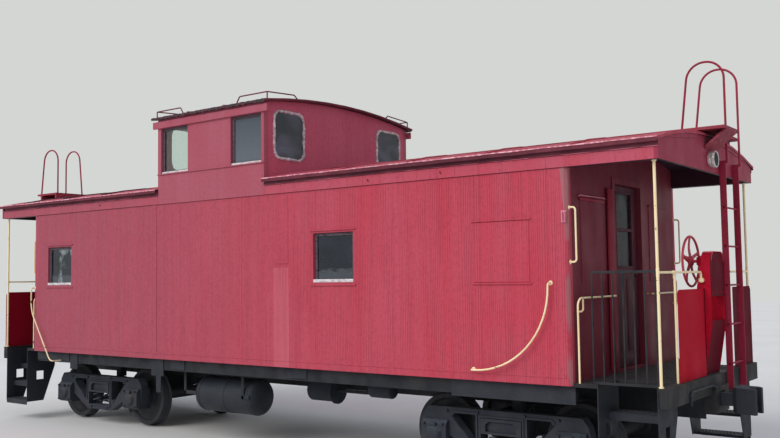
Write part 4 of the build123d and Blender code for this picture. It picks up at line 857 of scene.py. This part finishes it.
def hoop(y, raked_in, top=HOOP_TOP):
    """Hoop from the landing over to the ladder, one leg raked"""
    in_x, out_x = (HOOP_X0 + 0.095, HOOP_X1) if raked_in else (HOOP_X0, HOOP_X1 - 0.095)
    return [
        (HOOP_X0, y, WALK), (in_x, y, top, 0.2), (out_x, y, top, 0.2), (HOOP_X1, y, WALK, 0.01),
        (HOOP_X1, y, 3.388),
    ]


pipes(
    "ladder_hoops",
    [hoop(0.3, True), hoop(0.775, True), other_end(hoop(0.3, True, 4.51)), other_end(hoop(0.775, False, 4.475))],
    0.0122, "ladder_red", ("roof_hoops",), "deep_red",
)


def corner_rail(sx, sy):
    """Low rail round one corner of the cupola roof"""
    x = (CUP_X1 + CUP_OVER - 0.035) if sx > 0 else (CUP_X0 - CUP_OVER + 0.035)
    y = sy * (EAVE_Y - 0.07)
    top = CUP_EAVE + 0.1
    return [
        (x - sx * 0.56, y, CUP_EAVE + 0.008), (x - sx * 0.5, y, top, 0.03), (x, y, top, 0.012),
        (x, y - sy * 0.5, top + 0.03, 0.03), (x, y - sy * 0.56, CUP_EAVE + 0.085),
    ]


CORNERS = [(sx, sy) for sx in SIDES for sy in SIDES]
RAIL_POSTS = [corner_rail(sx, sy)[2] for sx, sy in CORNERS]
pipes(
    "cupola_corner_rails",
    [corner_rail(sx, sy) for sx, sy in CORNERS]
    + [[(x, y, CUP_EAVE + 0.008), (x, y, z)] for x, y, z, bend in RAIL_POSTS],
    0.0085, "eave_dark", ("cupola_rails",), "roof_red", 10,
)
RUNG_Z = (1.23, 1.65, 2.07, 2.49, 2.91)
pipes(
    "ladder_bars", both_ends(*[[(5.62, 0.293, z), (5.62, 0.782, z)] for z in RUNG_Z]),
    0.0105, "ladder_red", ("ladder_rungs",), "deep_red", 12,
)


# Roof: standing seams over each sheet, pale strips painted as highlights on the roof's edge and the letterboard's
# top, dark strips painted as the shade under the eaves, and the cupola's tarred edges
def arc_points(x, half, eave, rise, lift, count=8):
    """Points across a roof on its own chords, lifted a little"""
    radius = (half ** 2 + rise ** 2) / (2 * rise)
    reach = math.asin(half / radius)
    angles = [reach * (2 * step / count - 1) for step in range(count + 1)]
    return [
        (x, radius * math.sin(a), eave + rise - radius * (1 - math.cos(a)) + lift, 0.02) for a in angles
    ]


ROOF_SEAMS = (-4.86, -3.83, -2.83, 1.80, 2.76, 3.77, 4.75)
pipes(
    "roof_seams", [arc_points(x, EAVE_Y - 0.002, EAVE, ROOF_RISE, 0.004) for x in ROOF_SEAMS],
    0.013, "roof_red", sides=8,
)
pipes(
    "cupola_edges",
    [
        arc_points(x, EAVE_Y, CUP_EAVE, CUP_RISE, -0.012)
        for x in (CUP_X0 - CUP_OVER - 0.001, CUP_X1 + CUP_OVER + 0.001)
    ],
    0.014, "eave_dark", slot="roof_red", sides=8,
)
pipes(
    "cupola_seams", [arc_points(x, EAVE_Y - 0.002, CUP_EAVE, CUP_RISE, 0.003) for x in (-0.9, -0.19)],
    0.011, "roof_red", sides=8,
)


def edge_strip(name, spans, y, top, drop, jitter, step, thick, seed):
    """Uneven strip hung along an edge, its lower line cut by hand"""
    dice = random.Random(seed)
    bm = bmesh.new()
    for x0, x1 in spans:
        count = max(2, round((x1 - x0) / step))
        rings = []
        for index in range(count + 1):
            x = x0 + (x1 - x0) * index / count
            low = top - drop - dice.uniform(0, jitter)
            high = top + dice.uniform(0, jitter) * 0.35
            outer = y + math.copysign(thick, y)
            corners = ((x, y, low), (x, y, high), (x, outer, high - thick / 2), (x, outer, low))
            rings.append([bm.verts.new(Vector(corner)) for corner in corners])
        skin(bm, rings)
    return from_bmesh(name, bm)


ROOF_SPANS = ((-5.575, CUP_X0), (CUP_X1, 5.6))
BAND_SPANS = ((-5.49, CUP_X0), (CUP_X1, 5.59))
BOARD_SPANS = ((-ROOF_END, CUP_X0), (CUP_X1, ROOF_END))
CUP_SPANS = ((CUP_X0 - CUP_OVER, CUP_X1 + CUP_OVER),)
# The pale lip on the roof's edge and the pale line on the letterboard's top are painted highlights; the dark strip
# on the roof's edge and the dark band between letterboard and roof are painted shade under the overhang
# Each strip's spans, place across the car, top, drop, jitter, step, thickness, seed, finish and slot
STRIPS = {
    "roof_lip_highlight": (ROOF_SPANS, EAVE_Y + 0.0035, EAVE + 0.003, 0.009, 0.005, 0.14, 0.005, 3, "drip_pink", "roof_red"),
    "roof_edge_shade": (ROOF_SPANS, EAVE_Y, EAVE - 0.002, 0.042, 0.004, 0.25, 0.0035, 11, "eave_dark", "roof_red"),
    "eave_shade_band": (BAND_SPANS, BOARD_Y, EAVE - 0.006, 0.073, 0.004, 0.3, 0.009, 5, "eave_dark", "roof_red"),
    "board_cap_highlight": (BOARD_SPANS, BOARD_Y, 3.392, 0.004, 0.005, 0.09, 0.012, 7, "cap_pink", "body_red"),
    "cupola_lip": (CUP_SPANS, EAVE_Y, CUP_EAVE, 0.024, 0.02, 0.03, 0.006, 9, "roof_tar", "roof_red"),
}
for side, way in (("near", -1), ("far", 1)):
    for label, (spans, y, *measures, finish_name, slot) in STRIPS.items():
        name = f"{label}_{side}"
        piece(name, edge_strip(name, spans, way * y, *measures), finish_name, slot=slot)


def soft_ring(width, height, radius, steps=12):
    """Points round a rectangle with rounded corners"""
    points = []
    for sx, sz, first in ((1, 1, 0), (-1, 1, 90), (-1, -1, 180), (1, -1, 270)):
        for step in range(steps):
            angle = math.radians(first + 90 * step / (steps - 1))
            points.append((sx * (width / 2 - radius) + radius * math.cos(angle),
                           sz * (height / 2 - radius) + radius * math.sin(angle)))
    full = []
    for (y0, z0), (y1, z1) in zip(points, points[1:] + points[:1]):
        parts = max(1, round(math.hypot(y1 - y0, z1 - z0) / 0.02))
        full += [(y0 + (y1 - y0) * k / parts, z0 + (z1 - z0) * k / parts) for k in range(parts)]
    return full


def gaskets():
    """Hand-laid sealant round each cupola end window"""
    bm = bmesh.new()
    for x, out in ((CUP_X1, 1), (CUP_X0, -1)):
        for y in (-1.075, 1.075):
            rings = []
            for dy, dz in soft_ring(0.56, 0.62, 0.115):
                outward = Vector((0, dy, dz)).normalized()
                seed = Vector((x * 3, (y + dy) * 26, dz * 26))
                swell = 1.12 + 0.5 * noise.noise(seed)
                middle = Vector((x, y + dy, CUP_SILL + 0.378 + dz)) + outward * (0.006 * noise.noise(seed * 1.7))
                rings.append([
                    bm.verts.new(middle + outward * (0.0175 * swell * math.cos(a))
                                 + Vector((out * 0.019 * swell * max(0.0, math.sin(a)), 0, 0)))
                    for a in (math.pi * turn / 6 for turn in range(7))
                ])
            skin(bm, rings + rings[:1], capped=False)
    return from_bmesh("window_seals", bm)


piece("window_seals", gaskets(), "gasket_grey", ("cupola_gaskets",))


# Windows and doors: sills, ledges, sash bars and mouldings
def window_trim():
    """Sills under the glass of each side and cupola window, the strips that carry the painted highlight along each
    frame's foot
    """
    bm = bmesh.new()
    for middle, side in SIDE_WINDOWS:
        x0, x1 = middle - WINDOW_W / 2, middle + WINDOW_W / 2
        add_box(bm, (x0, side * (HALF_W - 0.034), WINDOW_LOW), (x1, side * (HALF_W + 0.004), WINDOW_LOW + 0.038))
    for middle in CUP_WINDOWS:
        for side in SIDES:
            x0, x1 = middle - CUP_WINDOW_W / 2 + 0.012, middle + CUP_WINDOW_W / 2 - 0.006
            add_box(bm, (x0, side * (BOARD_Y - 0.034), CUP_SILL), (x1, side * (BOARD_Y - 0.004), CUP_SILL + 0.026))
    return from_bmesh("window_sills", bm)


def cupola_ledges():
    """Drip ledge along each cupola side under its windows"""
    bm = bmesh.new()
    x0, x1, z0, z1 = CUP_X0 + 0.01, CUP_X1 - 0.01, CUP_SILL - 0.016, CUP_SILL - 0.003
    for side in SIDES:
        add_box(bm, (x0, side * (BOARD_Y - 0.004), z0), (x1, side * (BOARD_Y + 0.009), z1))
    return from_bmesh("cupola_ledges", bm)


def sash_bars():
    """Meeting rail of each side window, behind its glass"""
    bm = bmesh.new()
    z = WINDOW_LOW + WINDOW_H * 0.5
    for middle, side in SIDE_WINDOWS:
        x0, x1 = middle - WINDOW_W / 2 + 0.038, middle + WINDOW_W / 2 - 0.038
        add_box(bm, (x0, side * (HALF_W - 0.072), z), (x1, side * (HALF_W - 0.058), z + 0.02))
    return from_bmesh("sash_bars", bm)


piece("cupola_ledges", cupola_ledges(), "eave_dark", slot="body_red")
# The sills' white is a painted highlight along the foot of each window frame
piece("window_sills", window_trim(), "lit_sill_white", slot="window_silver")
piece("sash_bars", sash_bars(), "window_silver")

# Sash frame, panel beads, kick plate and handle of the door at end A
DOOR_FACE = 4.604
DOOR_TRIM = (
    ((4.575, -0.23, 2.68), (4.608, 0.23, 2.715)),
    ((4.575, -0.23, 2.28), (4.612, -0.205, 3.12)),
    ((4.575, 0.205, 2.28), (4.612, 0.23, 3.12)),
    ((4.575, -0.23, 3.10), (4.612, 0.23, 3.12)),
    ((4.575, -0.23, 2.27), (4.612, 0.23, 2.295)),
    ((DOOR_FACE, -0.30, 1.35), (DOOR_FACE + 0.006, -0.03, 2.15), 0.003),
    ((DOOR_FACE, 0.03, 1.35), (DOOR_FACE + 0.006, 0.30, 2.15), 0.003),
    ((DOOR_FACE, -0.34, 1.2), (DOOR_FACE + 0.003, 0.34, 1.31), 0.001),
    ((DOOR_FACE, 0.28, 2.17), (DOOR_FACE + 0.012, 0.32, 2.25)),
    ((DOOR_FACE + 0.01, 0.20, 2.20), (DOOR_FACE + 0.03, 0.315, 2.22)),
)
for end, way in ENDS:
    trim = plate_mesh("door_trim", (way,), DOOR_TRIM)
    piece(f"door_trim_{end}", trim, "door_dark", slot="deep_red", body=f"porch_door_{end}")

# Plates of the end walls, given for end A
WALL_PLATES = {
    "corner_brackets": ("cap_pink", "body_red", (
        ((4.585, -1.535, 2.72), (4.64, -1.525, 2.84)),
        ((4.600, -1.556, 2.735), (4.612, -1.535, 2.825)),
        ((4.625, -1.556, 2.735), (4.637, -1.535, 2.825)),
    )),
    "door_posts": ("frame_red", "deep_red", (
        ((HALF_L + 0.014, -0.6, 1.18), (HALF_L + 0.034, -0.452, 3.12)),
        ((HALF_L + 0.014, -1.27, 2.955), (HALF_L + 0.022, -0.66, 2.985)),
    )),
}
for name, (finish_name, slot, plates) in WALL_PLATES.items():
    piece(name, plate_mesh("ironwork", (1, -1), plates), finish_name, slot=slot)

# Bolt heads, hooks and rods
BOARD_BOLTS = [
    (x, side * BOARD_Y, z, (0, side, 0))
    for side in SIDES for x in [-5.45 + 0.78 * k for k in range(15)] for z in (3.29, 3.36)
]
studs("board_bolts", BOARD_BOLTS, 0.0065, 0.004, "body_red", 8)
HOUSING_BOLTS = [
    (way * 5.604, way * y, z, (way, 0, 0))
    for way in (1, -1) for y in (-0.17, 0.0, 0.09, 0.24) for z in (2.0, 2.33)
]
studs("housing_bolts", HOUSING_BOLTS, 0.009, 0.008, "deep_red")

HOUSING_LID_X = ((5.502, 0.0), (5.502, 0.006), (5.612, 0.006), (5.612, 0.0))
HOUSING_TOP, HOUSING_RADIUS = 2.42, 0.09


def housing_lids():
    """Lid lip over each brake housing, round its two upper corners"""
    bm = bmesh.new()
    reach, middle = HOUSING_RADIUS + 0.004, HOUSING_TOP - HOUSING_RADIUS
    lip = [
        (side * 0.11 + 0.035 + reach * math.cos(a), middle + reach * math.sin(a))
        for side, first in ((-1, 180), (1, 90)) for a in (math.radians(first - 15 * k) for k in range(7))
    ]
    for way in (1, -1):
        skin(bm, [[bm.verts.new((way * x, way * y, z + lift)) for x, lift in HOUSING_LID_X] for y, z in lip])
    return from_bmesh("housing_lids", bm)


# The lid lip takes the lighter wheel_red over the housing's deep red as a painted highlight along its top
piece("housing_lids", housing_lids(), "wheel_red", slot="deep_red")
HOOKS = ((2.18, 3.315), (3.18, 3.322), (-2.9, 3.33))
HOOK_Y = BOARD_Y + 0.018
pipes(
    "board_hooks",
    both_ends(*[[(x, -BOARD_Y, z), (x, -HOOK_Y, z, 0.006), (x, -HOOK_Y, z + 0.02)] for x, z in HOOKS]),
    0.005, "eave_dark", slot="body_red", sides=8,
)
pipes(
    "ledge_rods",
    both_ends([
        (4.668, -1.29, 2.99), (4.668, -1.27, 3.003, 0.01), (4.668, -0.66, 3.008, 0.01), (4.652, -0.65, 3.008),
    ]),
    0.0075, "cap_pink", slot="deep_red", sides=10,
)

LAMP_Y, LAMP_Z = -0.03, 3.4
LAMP_SHELL = (
    (0.0, 0.0), (0.074, 0.0), (0.078, 0.004), (0.078, 0.016), (0.082, 0.02), (0.082, 0.03), (0.079, 0.034),
    (0.0885, 0.044), (0.09, 0.05), (0.09, 0.071), (0.087, 0.075), (0.078, 0.075), (0.075, 0.069), (0.0, 0.069),
)
LAMP_DOME = [(0.074 * math.sin(a), 0.0695 + 0.005 * math.cos(a)) for a in (math.pi / 2 * k / 6 for k in range(7))]


def lamp_mesh(name, profile):
    """Turned part of the round marker lamp at each end"""
    bm = bmesh.new()
    for way in (1, -1):
        add_turned(bm, facing_way(profile, way), "X", (way * ROOF_END, way * LAMP_Y, LAMP_Z), 40)
    return from_bmesh(name, bm)


piece("end_lamps", lamp_mesh("end_lamps", LAMP_SHELL), "lamp_grey", ("marker_lamps",))
piece("lamp_lenses", lamp_mesh("lamp_lenses", LAMP_DOME), "frame_dark", slot="lamp_grey")
GRAB_FEET = [
    (way * x, way * y, z, (0, -way, 0))
    for way in (1, -1) for x, y, z in ((4.45, -HALF_W, 2.126), (3.54, -HALF_W, 1.234), (-4.62, -HALF_W, 2.115))
] + [
    (sx * HALF_L, sy * GRAB_UP_Y, z, (sx, 0, 0)) for sx in (1, -1) for sy in (1, -1) for z in (2.33, 2.87)
]
studs("grab_feet", GRAB_FEET, 0.024, 0.007, "rail_yellow", 16)

BOX_BOLTS = ((-0.125, 0.11), (0.125, 0.11), (-0.125, -0.11), (0.125, -0.11))
FRAME_BOLTS = ((-0.29, 0.71), (0.29, 0.71), (-0.2, 0.255), (0.2, 0.255), (-0.69, 0.70), (0.69, 0.70))
JOURNAL_LID = ((0.0, 0.012), (0.07, 0.010), (0.084, 0.002), (0.088, -0.004))


def journal_lids(middle):
    """Lid and hinge lug on each journal box of a truck"""
    bm = bmesh.new()
    for side in SIDES:
        y = side * 1.148
        for x in (middle - AXLE_X, middle + AXLE_X):
            add_turned(bm, facing_way(JOURNAL_LID, side), "Y", (x, y, AXLE_Z), 32)
            low, high = AXLE_Z + 0.085, AXLE_Z + 0.125
            add_box(bm, (x - 0.045, y - side * 0.02, low), (x + 0.045, y + side * 0.010, high), 0.006)
    return from_bmesh("journal_lids", bm)


for end, way in ENDS:
    middle = way * TRUCK_X
    places = []
    for side in SIDES:
        for axle in (middle - AXLE_X, middle + AXLE_X):
            places += [(axle + dx, side * 1.12, AXLE_Z + dz, (0, side, 0)) for dx, dz in BOX_BOLTS]
        places += [(middle + dx, side * 1.05, z, (0, side, 0)) for dx, z in FRAME_BOLTS]
    studs(f"truck_bolts_{end}", places, 0.019, 0.024, "cast_black", 6, 4, f"truck_{end}")
for end, way in ENDS:
    piece(f"journal_lids_{end}", journal_lids(way * TRUCK_X), "cast_black", body=f"truck_{end}")

# Raised grip on the step treads and the porch decks
GRIP = [
    (sx * (4.925 + 0.041 * column + (0.02 if row % 2 else 0.0)), sy * (-1.451 + 0.123 * tread + 0.055 * row),
     0.318 + 0.27 * tread, (0, 0, 1))
    for sx in (1, -1) for sy in (1, -1) for tread in range(3) for row in range(4) for column in range(14)
] + [
    (sx * (4.76 + 0.052 * column), -0.93 + 0.11 * row, DECK, (0, 0, 1))
    for sx in (1, -1) for row in range(18) for column in range(14)
]
studs("tread_grip", GRIP, 0.011, 0.004, "deck_black", 5, 2)

# Inside the cupola, behind the near end window: a box on a folded chart rest
CUPOLA_THINGS = (
    ((0.27, -1.22, 3.76), (0.40, -0.98, 3.86), 0.012), ((0.29, -1.42, 3.70), (0.42, -0.8, 3.76), 0.006),
)
piece("cupola_things", plate_mesh("cupola_things", (1,), CUPOLA_THINGS), "locker_tan")

# Eased edges on the plain CAD plates, by their width
EASED = {
    0.002: ("end_panels", "step_gate"),
    0.003: ("side_wall_near", "side_wall_far", "steps_a", "steps_b", "sill_skirts", "ladders", "window_frames"),
    0.004: ("letterboards", "end_fascias", "cupola_sides", "porch_decks"),
    0.005: ("truck_bolster_a", "truck_bolster_b"),
    0.006: ("brake_housings",),
    0.007: ("truck_frames_a", "truck_frames_b"),
    0.008: ("couplers",),
}
for width, names in EASED.items():
    for name in names:
        node = frame["nodes"][name]
        node.modifiers.new("weld", "WELD").merge_threshold = MERGE
        ease = node.modifiers.new("ease", "BEVEL")
        ease.width = width
        ease.segments = 2
        ease.limit_method = "ANGLE"
        ease.angle_limit = math.radians(32)

# Floor, light and background
floor_mesh = bpy.data.meshes.new("floor")
floor_mesh.from_pydata([(-60, -60, 0), (60, -60, 0), (60, 60, 0), (-60, 60, 0)], [], [(0, 1, 2, 3)])
floor = add_object("floor", floor_mesh)
floor_tree, floor_shader = start("pale_floor")
finish(
    floor_tree, floor_shader,
    over(floor_tree, ramp(floor_tree, grain(floor_tree, 0.4), 0.3, 0.7), (228, 228, 226), (222, 222, 221)),
    ramp(floor_tree, grain(floor_tree, 3.0), 0.3, 0.7, 0.8, 0.95),
)
floor_mesh.materials.append(FINISHES["pale_floor"])

world = bpy.data.worlds.new("world")
scene.world = world
world.use_nodes = True
sky = world.node_tree
sky.nodes.clear()
path = put(sky, "ShaderNodeLightPath").outputs
seen = sums(sky, "MAXIMUM", path["Is Camera Ray"], path["Is Glossy Ray"], path["Is Transmission Ray"])
ambient = put(sky, "ShaderNodeBackground", {"Color": (0.86, 0.9, 1.0, 1), "Strength": 0.62}).outputs[0]
backdrop = put(sky, "ShaderNodeBackground", {"Color": tint(212, 214, 212), "Strength": 1.0}).outputs[0]
mixed = put(sky, "ShaderNodeMixShader", {0: seen, 1: ambient, 2: backdrop}).outputs[0]
put(sky, "ShaderNodeOutputWorld", {"Surface": mixed})
sun = bpy.data.lights.new("sun", "SUN")
sun.energy = 1.7
sun.angle = 0.7
sun.color = (1.0, 0.97, 0.94)
sun_object = add_object("sun", sun)
sun_object.rotation_euler = Vector((-0.18, -0.82, 0.62)).to_track_quat("Z", "Y").to_euler()
